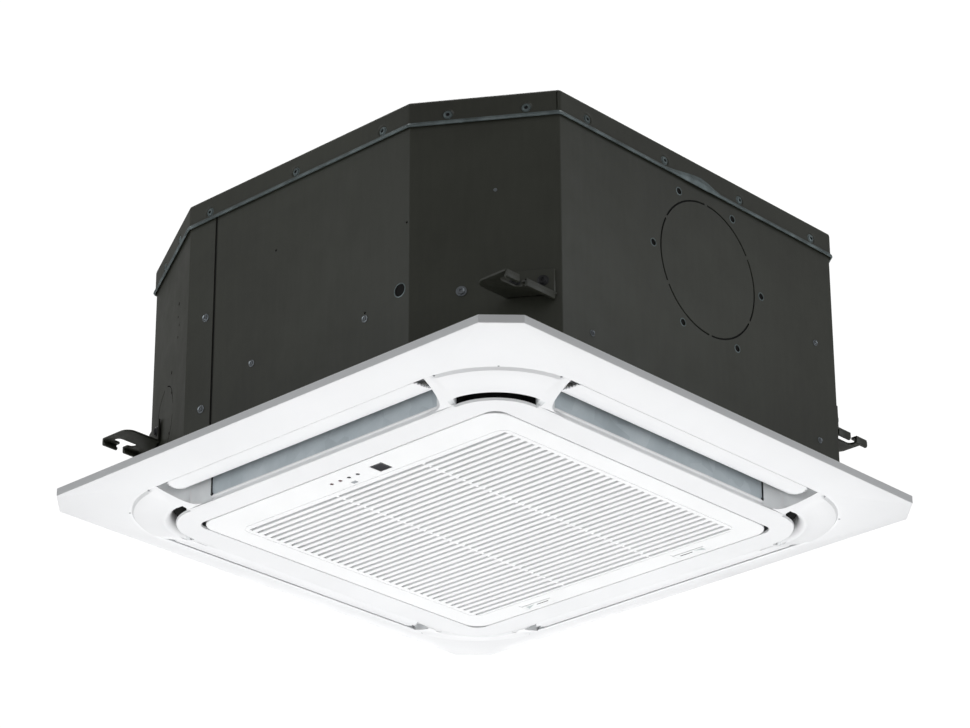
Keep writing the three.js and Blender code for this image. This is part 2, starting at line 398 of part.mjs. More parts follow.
// drain pan
let pan = prismM(offset(BODY, 3.3), PAN0, PAN1, [circle(0, 0, 168, 28).reverse()]);
for (let k = 0; k < 4; k++) pan = pan.subtract(turned(boxM(-172, 172, k % 2 ? -274 : -270.6, -244, 0, 60), k));
pan = pan.subtract(prismM(roundSq(228, 60), 42, 60, [roundSq(185, 25).reverse()]));
pan = pan.subtract(boxM(172, 238, -122, 122, -1, 37));
for (let k = 0; k < 4; k++) pan = pan.subtract(turned(boxM(228, 262, -262, -228, 0, 11), k));
piece('drain_pan', pan, FOAM);
const plug = prismM(circle(-176, 176, 9, 12), -2.4, 2.7);
piece('drain_plug', plug, BLACK);

// ---------- coil ----------
let coil = prismM(roundSq(224, 56, 7), 43, 246, [roundSq(189, 21, 7).reverse()]);
coil = coil.subtract(boxM(-240, -150, 150, 240, 30, 260));
piece('coil', coil, ALU);
let ep = boxM(-151.8, -150.4, 184, 227, 52.8, 250).add(boxM(-227, -184, 150.4, 151.8, 52.8, 250));
ep = ep.add(prismM([[-150.4, 184.5], [-184.5, 150.4], [-186, 151.8], [-151.8, 186]].reverse(), 52.8, 250));
ep = ep.subtract(rod([-150, 213, 128], [-160, 213, 128], 5.4)).subtract(rod([-213, 148, 128], [-213, 162, 128], 7.6));
piece('coil_end_plate', ep, STEEL);

// ---------- drain pump and float switch ----------
const PX = -196, PY = 196;
piece('drain_pump', lathe([[0.001, 55], [16, 55], [20, 60], [20, 92], [27, 96], [27, 150], [22, 156], [12, 158], [12, 168], [0.001, 168]], 18, PX, PY), WHITE);
piece('float_stem', prismM(circle(-162, 236, 2, 10), 58, 100).add(boxM(-172, -156, 231, 242, 96, 99.6)).add(prismM(circle(-162, 236, 5, 10), 54.6, 58.2)), WHITE);
piece('float', lathe([[2.6, 59], [8, 59], [9, 61], [9, 76], [8, 78], [2.6, 78]], 14, -162, 236), BLACK);

// ---------- fan, motor, bell mouth ----------
let fan = lathe([[4.35, 116], [11, 116], [12, 121.6], [30, 123], [57, 129], [67, 141], [69, 183], [FAN_R, 189], [FAN_R, 192], [66, 186.4], [64, 143], [55, 132.6], [30, 126.4], [11, 126.4], [11, 137], [4.35, 137]], 28);
fan = fan.add(lathe([[128, 63], [131, 63], [133, 72], [144, 84], [FAN_R, 92], [FAN_R, 95], [142.4, 86.8], [130.4, 75], [128, 66]], 28));
for (let i = 0; i < 7; i++) {
  const a = i * 360 / 7, pts = [], inner = [];
  for (let j = 0; j <= 5; j++) {
    const u = j / 5, r = 92 + u * 65, ang = (a + 34 * u - 4 * u * u) * Math.PI / 180, w = 1.1 + 2.6 * u * (1 - u), dx = -Math.sin(ang - 0.95) * w, dy = Math.cos(ang - 0.95) * w;
    pts.push([r * Math.cos(ang) + dx, r * Math.sin(ang) + dy]);
    inner.unshift([r * Math.cos(ang) - dx, r * Math.sin(ang) - dy]);
  }
  let b = prismM([...pts, ...inner], 76, 190.5);
  b = b.subtract(lathe([[60, 193], [72, 186.6], [FAN_R + 1, 191.9], [FAN_R + 1, 199], [60, 199]], 28));
  b = b.subtract(lathe([[129, 60], [129, 76.4], [141.4, 87.8], [FAN_R + 6, 96.6], [FAN_R + 6, 60]], 28).subtract(lathe([[128, 75], [130.6, 75], [142.6, 86.8], [FAN_R + 2, 94.4], [FAN_R + 2, 100], [128, 100]], 28)));
  fan = fan.add(b);
}
piece('turbo_fan', fan, GREY);
piece('motor_shaft', prism(circle(0, 0, 4, 12), 103, 138), STEEL);
piece('fan_nut', prism(circle(0, 0, 8.4, 6), 106.5, 115.6, [circle(0, 0, 4.35, 12).reverse()]), STEEL);
piece('fan_motor', lathe([[0.001, 138.4], [12, 138.4], [14, 141], [50, 143], [55, 148], [56, 236], [50, 243], [20, 246], [0.001, 246]], 24), DARK);
let mount = prismM(circle(0, 0, 60, 20), 246.4, 249.6).add(prismM(circle(0, 0, 40, 20), 249, 252));
for (let i = 0; i < 3; i++) { const a = i * 2 * Math.PI / 3; mount = mount.add(prismM(circle(50 * Math.cos(a), 50 * Math.sin(a), 8, 10), 249.2, 287.2)); }
piece('motor_mount', mount, BLACK);
const bell = lathe([[121, 64], [123.6, 64.6], [124.4, 50], [129, 34], [140, 18], [158, 6], [166, 2.6], [166, 0], [157, 3.2], [138.4, 15.6], [127, 32.6], [122, 49]], 28);
let flange = prismM([[-206, -206], [168, -206], [168, 206], [-206, 206]], 0, 2.5, [circle(0, 0, 165, 28).reverse()]);
flange = flange.subtract(prismM(circle(-176, 176, 10, 12), -2, 5));
piece('bell_mouth', bell.add(flange), WHITE);

// ---------- control box ----------
piece('control_box', boxM(174, 236, -120, 120, -1.4, 36).subtract(boxM(175.2, 234.8, -118.8, 118.8, -3, 34.8)), STEEL);
piece('control_box_cover', boxM(173, 236.5, -122, 122, -3.2, -2), STEEL);
let pcb = boxM(181, 229, -110, 40, 28, 29.6);
for (const [x, y, r, h] of [[192, -90, 8, 20], [192, -66, 8, 20], [216, -84, 7, 14]]) pcb = pcb.add(prismM(circle(x, y, r, 10), 28.2 - h, 28.2));
pcb = pcb.add(boxM(200, 222, -50, -20, 12, 28.2)).add(boxM(186, 198, -30, 20, 20, 28.2));
piece('control_board', pcb, GREEN);
let term = boxM(186, 226, 54, 108, 18, 34);
for (let i = 0; i < 5; i++) term = term.subtract(boxM(190, 222, 58 + i * 10, 64 + i * 10, 14, 26));
piece('terminal_block', term, BLACK);

// ---------- hanger brackets ----------
// plate inside the square of the body, outer corner at (286, -277), hook slot open to the side
function bracket(p0, p1, name, flip) { // wall line from p0 (on the Y side) to p1 (on the X side), for the +X -Y corner
  const d = [p1[0] - p0[0], p1[1] - p0[1]], yAt = (x) => p0[1] + d[1] * (x - p0[0]) / d[0];
  const g = 1.3, X = 286, Y = -277, xi = 245;
  const plan = [[xi + 10, Y], [X, Y], [X, yAt(X) - g], [xi, yAt(xi) - g], [xi, Y + 10], [xi + 3, Y + 3]];
  let m = prismM(plan, BRK_Z - 1.2, BRK_Z + 1.2);
  m = m.subtract(boxM(268, 295, Y + 19, Y + 29, 55, 75)).subtract(boxM(268, 278, Y + 8, Y + 32, 55, 75));
  for (const [y0, y1] of [[Y, Y + 19], [Y + 29, yAt(X) - g - 2.4]]) if (y1 > y0 + 2) m = m.add(boxM(X - 2.4, X, y0, y1, BRK_Z - 6.8, BRK_Z + 1.2));
  // flange screwed to the chamfer, upward
  const q = [[xi + 1, yAt(xi + 1) - g], [X - 1, yAt(X - 1) - g], [X - 1, yAt(X - 1) - g - 2.6], [xi + 1, yAt(xi + 1) - g - 2.6]];
  m = m.add(prismM([q[3], q[2], q[1], q[0]], BRK_Z - 1.2, BRK_Z + 26));
  const gm = geo(m);
  if (flip[0] < 0 || flip[1] < 0) gm.applyMatrix4(new THREE.Matrix4().makeScale(flip[0], flip[1], 1));
  piece('hanger_bracket_' + name, solid(gm), DARK);
}
const fold = ([x, y], f) => [x * f[0], y * f[1]];
bracket(out[1], out[2], 'front_right', [1, 1]);
bracket(fold(out[4], [1, -1]), fold(out[3], [1, -1]), 'back_right', [1, -1]);
bracket(fold(out[0], [-1, 1]), fold(out[7], [-1, 1]), 'front_left', [-1, 1]);
bracket(fold(out[5], [-1, -1]), fold(out[6], [-1, -1]), 'back_left', [-1, -1]);

export default group;
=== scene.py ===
import bpy, bmesh, math, random
from mathutils import Vector, Matrix, noise
from mathutils.geometry import tessellate_polygon


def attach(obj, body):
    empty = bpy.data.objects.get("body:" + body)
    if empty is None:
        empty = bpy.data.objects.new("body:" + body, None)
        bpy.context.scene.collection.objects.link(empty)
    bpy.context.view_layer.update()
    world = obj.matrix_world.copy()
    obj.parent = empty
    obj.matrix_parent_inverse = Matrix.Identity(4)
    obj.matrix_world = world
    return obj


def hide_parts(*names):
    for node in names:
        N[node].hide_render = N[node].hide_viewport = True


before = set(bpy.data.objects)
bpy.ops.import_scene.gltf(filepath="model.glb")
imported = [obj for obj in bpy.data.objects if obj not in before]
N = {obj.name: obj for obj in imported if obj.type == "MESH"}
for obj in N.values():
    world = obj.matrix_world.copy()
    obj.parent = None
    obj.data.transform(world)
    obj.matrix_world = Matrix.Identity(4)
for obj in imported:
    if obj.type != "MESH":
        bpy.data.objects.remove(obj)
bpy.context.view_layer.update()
MM = 0.001
random.seed(7)

# ------------------------------------------------------------------ camera
cam_data = bpy.data.cameras.new("photo_camera")
cam = bpy.data.objects.new("photo_camera", cam_data)
bpy.context.scene.collection.objects.link(cam)
bpy.context.scene.camera = cam
yaw, pitch, roll = math.radians(43.026), math.radians(25.04), math.radians(-0.265)
fwd = Vector((-math.sin(yaw) * math.cos(pitch), math.cos(yaw) * math.cos(pitch), math.sin(pitch)))
rt = Vector((math.cos(yaw), math.sin(yaw), 0))
up = rt.cross(fwd)
r2 = rt * math.cos(roll) + up * math.sin(roll)
u2 = -rt * math.sin(roll) + up * math.cos(roll)
m = Matrix((r2, u2, -fwd)).transposed().to_4x4()
m.translation = Vector((2.19895, -2.35597, -1.35052))
cam.matrix_world = m
cam_data.sensor_fit, cam_data.sensor_width, cam_data.lens = "HORIZONTAL", 36.0, 125.77
cam_data.clip_start, cam_data.clip_end = 0.05, 60

# ------------------------------------------------------------------ materials
def mat(name, base=(0.8, 0.8, 0.8), rough=0.5, metal=0.0, **kw):
    m = bpy.data.materials.new(name)
    m.use_nodes = True
    nt = m.node_tree
    b = nt.nodes["Principled BSDF"]
    b.inputs["Base Color"].default_value = (*base, 1)
    b.inputs["Roughness"].default_value = rough
    b.inputs["Metallic"].default_value = metal
    for k, v in kw.items():
        b.inputs[k].default_value = v
    return m, nt, b

def coords(nt, scale=(1, 1, 1)):
    t = nt.nodes.new("ShaderNodeTexCoord")
    mp = nt.nodes.new("ShaderNodeMapping")
    mp.inputs["Scale"].default_value = scale
    nt.links.new(t.outputs["Object"], mp.inputs["Vector"])
    return mp.outputs["Vector"]

def noise_tex(nt, vec, scale, detail=3, rough=0.55, dist=0.0):
    n = nt.nodes.new("ShaderNodeTexNoise")
    n.inputs["Scale"].default_value = scale
    n.inputs["Detail"].default_value = detail
    n.inputs["Roughness"].default_value = rough
    n.inputs["Distortion"].default_value = dist
    nt.links.new(vec, n.inputs["Vector"])
    return n.outputs["Fac"]

def ramp(nt, fac, stops):
    r = nt.nodes.new("ShaderNodeValToRGB")
    e = r.color_ramp.elements
    e[0].position, e[1].position = stops[0][0], stops[-1][0]
    e[0].color, e[1].color = (*stops[0][1], 1), (*stops[-1][1], 1)
    for p, c in stops[1:-1]:
        x = e.new(p)
        x.color = (*c, 1)
    nt.links.new(fac, r.inputs["Fac"])
    return r.outputs["Color"]

def to_range(nt, fac, a, b, lo=0.3, hi=0.7):
    r = nt.nodes.new("ShaderNodeMapRange")
    r.inputs["From Min"].default_value, r.inputs["From Max"].default_value = lo, hi
    r.inputs["To Min"].default_value, r.inputs["To Max"].default_value = a, b
    nt.links.new(fac, r.inputs["Value"])
    return r.outputs["Result"]

def bump(nt, b, fac, strength, dist):
    n = nt.nodes.new("ShaderNodeBump")
    n.inputs["Strength"].default_value = strength
    n.inputs["Distance"].default_value = dist
    nt.links.new(fac, n.inputs["Height"])
    nt.links.new(n.outputs["Normal"], b.inputs["Normal"])

def plastic(name, c, rough=0.42, var=0.012, tex=0.00004):
    m, nt, b = mat(name, c, rough)
    v = coords(nt)
    f = noise_tex(nt, v, 7, 4)
    lo = tuple(max(0, x - var) for x in c)
    hi = tuple(min(1, x + var) for x in c)
    nt.links.new(ramp(nt, f, [(0.35, lo), (0.65, hi)]), b.inputs["Base Color"])
    g = noise_tex(nt, v, 900, 2)
    nt.links.new(to_range(nt, noise_tex(nt, v, 30, 3), rough - 0.05, rough + 0.06), b.inputs["Roughness"])
    bump(nt, b, g, 0.25, tex)
    return m

WHITE = plastic("panel_white", (0.80, 0.805, 0.815), 0.40)
BLADE = plastic("louvre_white", (0.80, 0.805, 0.815), 0.38)
# grille_white is lighter than the panel white: painted light that lifts the shade on the slot walls
GRILLE = plastic("grille_white", (0.85, 0.855, 0.86), 0.42)
MARK = plastic("latch_mark", (0.50, 0.54, 0.54), 0.5)
# dark grey for the cover's notches: painted shade
NOTCH_SHADE = plastic("notch_painted_shade", (0.34, 0.35, 0.36), 0.5)
# grille_fins are whiter still: painted light that lifts the shade on the fins' sides inside the slots
FINW = plastic("grille_fins", (0.93, 0.935, 0.94), 0.5)
DUCT = plastic("duct_plastic", (0.80, 0.82, 0.83), 0.5)
GREY = plastic("grey_plastic", (0.33, 0.35, 0.37), 0.5)
BLACKP = plastic("black_plastic", (0.016, 0.016, 0.018), 0.45, 0.004)
DRAIN = plastic("drain_plastic", (0.62, 0.62, 0.59), 0.4)
RUBBER = plastic("black_rubber", (0.02, 0.02, 0.02), 0.8, 0.006, 0.00015)

def paint():  # coated sheet: olive-grey, slightly uneven, with faint vertical drawing marks and rubbed spots
    m, nt, b = mat("casing_paint", (0.04, 0.042, 0.036), 0.42, 0.0)
    v = coords(nt)
    big = noise_tex(nt, v, 5.5, 5, 0.6, 0.4)
    fine = noise_tex(nt, coords(nt, (1, 1, 0.12)), 160, 3)
    mix = nt.nodes.new("ShaderNodeMath"); mix.operation = "MULTIPLY_ADD"
    nt.links.new(fine, mix.inputs[0]); mix.inputs[1].default_value = 0.25
    nt.links.new(big, mix.inputs[2])
    nt.links.new(ramp(nt, mix.outputs[0], [(0.38, (0.032, 0.033, 0.0235)), (0.6, (0.044, 0.046, 0.0335)), (0.85, (0.057, 0.060, 0.045))]), b.inputs["Base Color"])
    nt.links.new(to_range(nt, noise_tex(nt, v, 11, 6, 0.65), 0.34, 0.52), b.inputs["Roughness"])
    b.inputs["Specular IOR Level"].default_value = 0.6
    h = nt.nodes.new("ShaderNodeMath"); h.operation = "MULTIPLY_ADD"
    nt.links.new(noise_tex(nt, v, 6, 2), h.inputs[0]); h.inputs[1].default_value = 14.0
    nt.links.new(noise_tex(nt, v, 700, 2), h.inputs[2])
    bump(nt, b, h.outputs[0], 0.35, 0.00006)
    return m
PAINT = paint()

def worn():  # the rubbed, bluish edge of the lid's curl and the bends: partly real wear, partly a painted highlight, lighter and bluer where the rounded metal catches the light
    m, nt, b = mat("worn_edge_and_painted_sheen", (0.13, 0.15, 0.17), 0.36, 0.35)
    v = coords(nt)
    nt.links.new(ramp(nt, noise_tex(nt, v, 45, 5, 0.6), [(0.3, (0.10, 0.122, 0.122)), (0.55, (0.20, 0.245, 0.25)), (0.75, (0.31, 0.37, 0.38))]), b.inputs["Base Color"])
    nt.links.new(to_range(nt, noise_tex(nt, v, 60, 3), 0.3, 0.5), b.inputs["Roughness"])
    bump(nt, b, noise_tex(nt, v, 240, 3), 0.2, 0.0001)
    return m
WORN_AND_SHEEN = worn()

def galv(name, c0, c1, c2, rough=0.42, metal=0.55):
    m, nt, b = mat(name, c1, rough, metal)
    v = coords(nt)
    vo = nt.nodes.new("ShaderNodeTexVoronoi")
    vo.inputs["Scale"].default_value = 55
    nt.links.new(v, vo.inputs["Vector"])
    sep = nt.nodes.new("ShaderNodeSeparateColor")
    nt.links.new(vo.outputs["Color"], sep.inputs[0])
    mx = nt.nodes.new("ShaderNodeMath"); mx.operation = "MULTIPLY_ADD"
    nt.links.new(sep.outputs[0], mx.inputs[0]); mx.inputs[1].default_value = 0.22
    nt.links.new(noise_tex(nt, v, 14, 5, 0.6), mx.inputs[2])
    nt.links.new(ramp(nt, mx.outputs[0], [(0.4, c0), (0.62, c1), (0.85, c2)]), b.inputs["Base Color"])
    nt.links.new(to_range(nt, noise_tex(nt, v, 40, 4), rough - 0.08, rough + 0.1), b.inputs["Roughness"])
    bump(nt, b, noise_tex(nt, v, 350, 3), 0.15, 0.0001)
    return m
SLEEVE = galv("galvanised", (0.42, 0.475, 0.505), (0.50, 0.56, 0.592), (0.575, 0.63, 0.66), 0.5, 0.12)
STEEL = galv("zinc_steel", (0.45, 0.47, 0.49), (0.55, 0.57, 0.58), (0.68, 0.70, 0.70), 0.34, 0.9)
SCREW = galv("screw_zinc", (0.16, 0.175, 0.19), (0.26, 0.28, 0.30), (0.42, 0.45, 0.47), 0.3, 0.8)

def metalm(name, a, b_, rough):
    m, nt, b = mat(name, a, rough, 1.0)
    v = coords(nt)
    nt.links.new(ramp(nt, noise_tex(nt, v, 30, 5), [(0.3, a), (0.7, b_)]), b.inputs["Base Color"])
    nt.links.new(to_range(nt, noise_tex(nt, v, 80, 3), rough - 0.08, rough + 0.12), b.inputs["Roughness"])
    bump(nt, b, noise_tex(nt, v, 500, 2), 0.1, 0.00005)
    return m
COPPER = metalm("copper", (0.52, 0.24, 0.13), (0.68, 0.36, 0.22), 0.3)
BRASS = metalm("brass", (0.55, 0.40, 0.16), (0.70, 0.54, 0.26), 0.28)
ALU = metalm("aluminium_fins", (0.55, 0.57, 0.58), (0.70, 0.72, 0.73), 0.4)

def foam():
    m, nt, b = mat("eps_foam", (0.78, 0.78, 0.75), 0.95)
    v = coords(nt)
    vo = nt.nodes.new("ShaderNodeTexVoronoi"); vo.inputs["Scale"].default_value = 330
    nt.links.new(v, vo.inputs["Vector"])
    nt.links.new(ramp(nt, vo.outputs["Distance"], [(0.0, (0.82, 0.82, 0.8)), (0.7, (0.66, 0.66, 0.63))]), b.inputs["Base Color"])
    bump(nt, b, vo.outputs["Distance"], 0.4, -0.0004)
    return m
FOAM = foam()

def glossy(name, c, rough, **kw):
    m, nt, b = mat(name, c, rough, 0.0, **kw)
    v = coords(nt)
    nt.links.new(to_range(nt, noise_tex(nt, v, 90, 3), rough, rough + 0.06), b.inputs["Roughness"])
    nt.links.new(ramp(nt, noise_tex(nt, v, 60, 2), [(0.3, c), (0.7, tuple(x * 1.35 for x in c))]), b.inputs["Base Color"])
    return m
WINDOW = glossy("smoked_window", (0.010, 0.010, 0.014), 0.12)
LED_RED = glossy("led_red", (0.055, 0.010, 0.012), 0.2)
LED_DARK = glossy("led_dark", (0.02, 0.02, 0.022), 0.2)
INK = glossy("grey_ink", (0.16, 0.16, 0.17), 0.5)
PCB = glossy("circuit_board", (0.02, 0.10, 0.04), 0.3)
DARKIN = plastic("inner_shadow", (0.006, 0.006, 0.006), 0.9, 0.002)

def net():
    m, nt, b = mat("filter_net", (0.03, 0.03, 0.032), 0.8)
    v = coords(nt)
    w1 = nt.nodes.new("ShaderNodeTexWave"); w1.bands_direction = "X"; w1.inputs["Scale"].default_value = 160
    w2 = nt.nodes.new("ShaderNodeTexWave"); w2.bands_direction = "Y"; w2.inputs["Scale"].default_value = 160
    nt.links.new(v, w1.inputs["Vector"]); nt.links.new(v, w2.inputs["Vector"])
    mx = nt.nodes.new("ShaderNodeMath"); mx.operation = "MAXIMUM"
    nt.links.new(w1.outputs["Fac"], mx.inputs[0]); nt.links.new(w2.outputs["Fac"], mx.inputs[1])
    nt.links.new(ramp(nt, mx.outputs[0], [(0.5, (0.004, 0.004, 0.004)), (0.9, (0.05, 0.05, 0.055))]), b.inputs["Base Color"])
    bump(nt, b, mx.outputs[0], 0.5, 0.0003)
    return m
NET = net()

# ------------------------------------------------------------------ mesh helpers
def make(name, verts, faces, material, body, angle=32, slot=None, mats=None, fmat=None):
    me = bpy.data.meshes.new(name)
    me.from_pydata([(x * MM, y * MM, z * MM) for x, y, z in verts], [], faces)
    me.validate(clean_customdata=False)
    o = bpy.data.objects.new(name, me)
    bpy.context.scene.collection.objects.link(o)
    for mm in (mats or [material]):
        me.materials.append(mm)
    if fmat:
        for p, i in zip(me.polygons, fmat):
            p.material_index = i
    bm = bmesh.new(); bm.from_mesh(me)
    bmesh.ops.remove_doubles(bm, verts=bm.verts, dist=2e-6)
    bmesh.ops.recalc_face_normals(bm, faces=bm.faces)
    bm.to_mesh(me); bm.free()
    shade(o, angle)
    if body:
        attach(o, body)
    return o

def shade(o, angle=32):
    me = o.data
    me.polygons.foreach_set("use_smooth", [True] * len(me.polygons))
    me.set_sharp_from_angle(angle=math.radians(angle))

def bake(o):  # replaces an object's mesh by what its modifiers make
    dg = bpy.context.evaluated_depsgraph_get()
    me = bpy.data.meshes.new_from_object(o.evaluated_get(dg))
    o.modifiers.clear()
    o.data = me

def cut(o, cutters, angle=32, op="DIFFERENCE"):
    for c in cutters:
        mod = o.modifiers.new("cut", "BOOLEAN")
        mod.operation, mod.object, mod.solver = op, c, "EXACT"
    bake(o)
    for c in cutters:
        bpy.data.objects.remove(c)
    shade(o, angle)

def bevel(o, w, seg=2, ang=40, shade_ang=50):
    md = o.modifiers.new("bevel", "BEVEL")
    md.width, md.segments, md.limit_method, md.angle_limit = w * MM, seg, "ANGLE", math.radians(ang)
    md.harden_normals = False
    md.use_clamp_overlap = True
    bake(o)
    shade(o, shade_ang)

def ring(pts, d=0.0, r=0.0, n=6, sub=1):
    """Outline of a convex counter-clockwise polygon, moved out by d, corners rounded by r (of the polygon itself) plus d."""
    k = len(pts)
    segs = []
    for i in range(k):
        a, b, c = Vector(pts[i - 1]), Vector(pts[i]), Vector(pts[(i + 1) % k])
        u, v = (b - a).normalized(), (c - b).normalized()
        nu, nv = Vector((u.y, -u.x)), Vector((v.y, -v.x))
        th = math.atan2(u.x * v.y - u.y * v.x, u.dot(v))
        q = r
        t = q * math.tan(th / 2)
        p0 = b - u * t
        cen = p0 - nu * q
        a0 = math.atan2(nu.y, nu.x)
        rr = max(q + d, 0.01)
        segs.append([(cen.x + rr * math.cos(a0 + th * j / n), cen.y + rr * math.sin(a0 + th * j / n)) for j in range(n + 1)])
    out = []
    for i in range(k):
        out += segs[i]
        nx = segs[(i + 1) % k][0]
        la = segs[i][-1]
        for j in range(1, sub):
            t = j / sub
            out.append((la[0] + (nx[0] - la[0]) * t, la[1] + (nx[1] - la[1]) * t))
    return out

def loft(name, rings, material, body, closed=True, cap0=False, cap1=False, angle=32, mats=None, matrow=None, disp=None):
    """rings: list of (outline, z). closed joins the last ring to the first."""
    n = len(rings[0][0])
    verts, faces, fm = [], [], []
    for i, (o, z) in enumerate(rings):
        for j, p in enumerate(o):
            q = (p[0], p[1], z)
            if disp:
                q = disp(i, j, q)
            verts.append(q)
    m = len(rings)
    for i in range(m if closed else m - 1):
        for j in range(n):
            a, b = i * n + j, i * n + (j + 1) % n
            c, d = ((i + 1) % m) * n + (j + 1) % n, ((i + 1) % m) * n + j
            faces.append((a, b, c, d))
            fm.append(matrow[i] if matrow else 0)
    if cap0:
        faces.append(tuple(range(n))); fm.append(0)
    if cap1:
        faces.append(tuple((m - 1) * n + j for j in range(n))); fm.append(0)
    return make(name, verts, faces, material, body, angle, mats=mats, fmat=fm if matrow else None)

def rsq(h, r, n=14):
    return ring([(h, -h), (h, h), (-h, h), (-h, -h)], 0, r, n)

def prism(name, pts, z0, z1, material, body, angle=32):
    n = len(pts)
    verts = [(x, y, z0) for x, y in pts] + [(x, y, z1) for x, y in pts]
    faces = [tuple(reversed(range(n))), tuple(range(n, 2 * n))] + [(i, (i + 1) % n, n + (i + 1) % n, n + i) for i in range(n)]
    return make(name, verts, faces, material, body, angle)

def boxo(name, x0, x1, y0, y1, z0, z1, material=None, body=None):
    return prism(name, [(x0, y0), (x1, y0), (x1, y1), (x0, y1)], z0, z1, material or WHITE, body)

def frame_at(p, nrm, xdir=None):
    z = Vector(nrm).normalized()
    x = Vector(xdir) if xdir else (Vector((0, 0, 1)).cross(z) if abs(z.z) < 0.9 else Vector((1, 0, 0)))
    x = (x - z * x.dot(z)).normalized()
    y = z.cross(x)
    m = Matrix((x, y, z)).transposed().to_4x4()
    m.translation = Vector(p)
    return m

def spin(name, prof, n, p, nrm, material, body, angle=40, xdir=None):
    """prof: (r, h) from the axis outwards and back; h along the normal."""
    mt = frame_at(p, nrm, xdir)
    verts, faces = [], []
    k = len(prof)
    for i in range(n):
        a = 2 * math.pi * i / n
        for r, h in prof:
            verts.append(tuple(mt @ Vector((r * math.cos(a), r * math.sin(a), h))))
    for i in range(n):
        for j in range(k - 1):
            a, b = i * k + j, ((i + 1) % n) * k + j
            f = [a, b, b + 1, a + 1]
            if prof[j][0] < 1e-6:
                f = [a, b + 1, a + 1]
            elif prof[j + 1][0] < 1e-6:
                f = [a, b, b + 1]
            faces.append(tuple(f))
    return make(name, verts, faces, material, body, angle)

def arc(cx, cy, r, a0, a1, n):
    return [(cx + r * math.cos(math.radians(a0 + (a1 - a0) * i / n)), cy + r * math.sin(math.radians(a0 + (a1 - a0) * i / n))) for i in range(n + 1)]

def turn(o, k):  # quarter turns about Z, applied to the mesh
    o.data.transform(Matrix.Rotation(k * math.pi / 2, 4, "Z"))
    return o

def placed(verts, mt):
    return [tuple(mt @ Vector(v)) for v in verts]

def join(name, objs, body, angle=None):
    """One mesh from several objects; materials are kept."""
    bm = bmesh.new()
    mats, me = [], bpy.data.meshes.new(name)
    for o in objs:
        idx = []
        for s in o.data.materials:
            if s not in mats:
                mats.append(s)
            idx.append(mats.index(s))
        n0 = len(bm.faces)
        bm.from_mesh(o.data)
        bm.faces.ensure_lookup_table()
        for f in bm.faces[n0:]:
            f.material_index = idx[f.material_index] if f.material_index < len(idx) else 0
    bm.to_mesh(me); bm.free()
    for s in mats:
        me.materials.append(s)
    for o in objs:
        bpy.data.objects.remove(o)
    o = bpy.data.objects.new(name, me)
    bpy.context.scene.collection.objects.link(o)
    if angle:
        shade(o, angle)
    if body:
        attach(o, body)
    return o

ROOT = "cassette"
# ------------------------------------------------------------------ casing
BODY = [(-151.4, -285), (165.6, -285), (291, -203.3), (291, 222.9), (210, 285), (-190, 285), (-291, 190), (-291, -208)]
def offs(pts, d):
    out = []
    k = len(pts)
    for i in range(k):
        a, b, c = Vector(pts[i - 1]), Vector(pts[i]), Vector(pts[(i + 1) % k])
        u, v = (b - a).normalized(), (c - b).normalized()
        nu, nv = Vector((-u.y, u.x)), Vector((-v.y, v.x))
        s = d / (1 + nu.dot(nv))
        q = b + (nu + nv) * s
        out.append((q.x, q.y))
    return out
WALL = offs(BODY, 1.7)      # outer face of the sheets

def wall_path(pts, r, n=5):
    """Open path with rounded bends: list of (point, outward normal)."""
    out = []
    for i, p in enumerate(pts):
        b = Vector(p)
        if i == 0 or i == len(pts) - 1:
            w = (Vector(pts[1]) - b) if i == 0 else (b - Vector(pts[-2]))
            w.normalize()
            out.append((b, Vector((w.y, -w.x))))
            continue
        u, v = (b - Vector(pts[i - 1])).normalized(), (Vector(pts[i + 1]) - b).normalized()
        nu = Vector((u.y, -u.x))
        th = math.atan2(u.x * v.y - u.y * v.x, u.dot(v))
        sg = 1 if th > 0 else -1
        t = r * math.tan(abs(th) / 2)
        p0 = b - u * t
        cen = p0 - nu * r * sg
        for j in range(n + 1):
            a = th * j / n
            q = Vector((nu.x * math.cos(a) - nu.y * math.sin(a), nu.x * math.sin(a) + nu.y * math.cos(a)))
            out.append((cen + q * r * sg, q))
    return out

def sheet_wall(name, pts, z0, z1, t, r, material, body, zsub=1):
    path = wall_path(pts, r)
    k = len(path)
    verts = []
    zs = [z0 + (z1 - z0) * i / zsub for i in range(zsub + 1)]
    for z in zs:
        for p, q in path:
            verts.append((p.x, p.y, z))
    for z in zs:
        for p, q in path:
            w = p - q * t
            verts.append((w.x, w.y, z))
    L = len(zs)
    faces = []
    for i in range(L - 1):
        for j in range(k - 1):
            a = i * k + j
            faces.append((a, a + 1, a + k + 1, a + k))
            b = L * k + a
            faces.append((b, b + k, b + k + 1, b + 1))
        for e in (0, k - 1):
            a, b = i * k + e, L * k + i * k + e
            faces.append((a, b, b + k, a + k))
    for i in (0, L - 1):
        for j in range(k - 1):
            a, b = i * k + j, L * k + i * k + j
            faces.append((a, a + 1, b + 1, b))
    return make(name, verts, faces, material, body, 30)

def cyl(p, nrm, r, h0, h1, n=20, name="cut"):
    return spin(name, [(0, h0), (r, h0), (r, h1), (0, h1)], n, p, nrm, DARKIN, None)

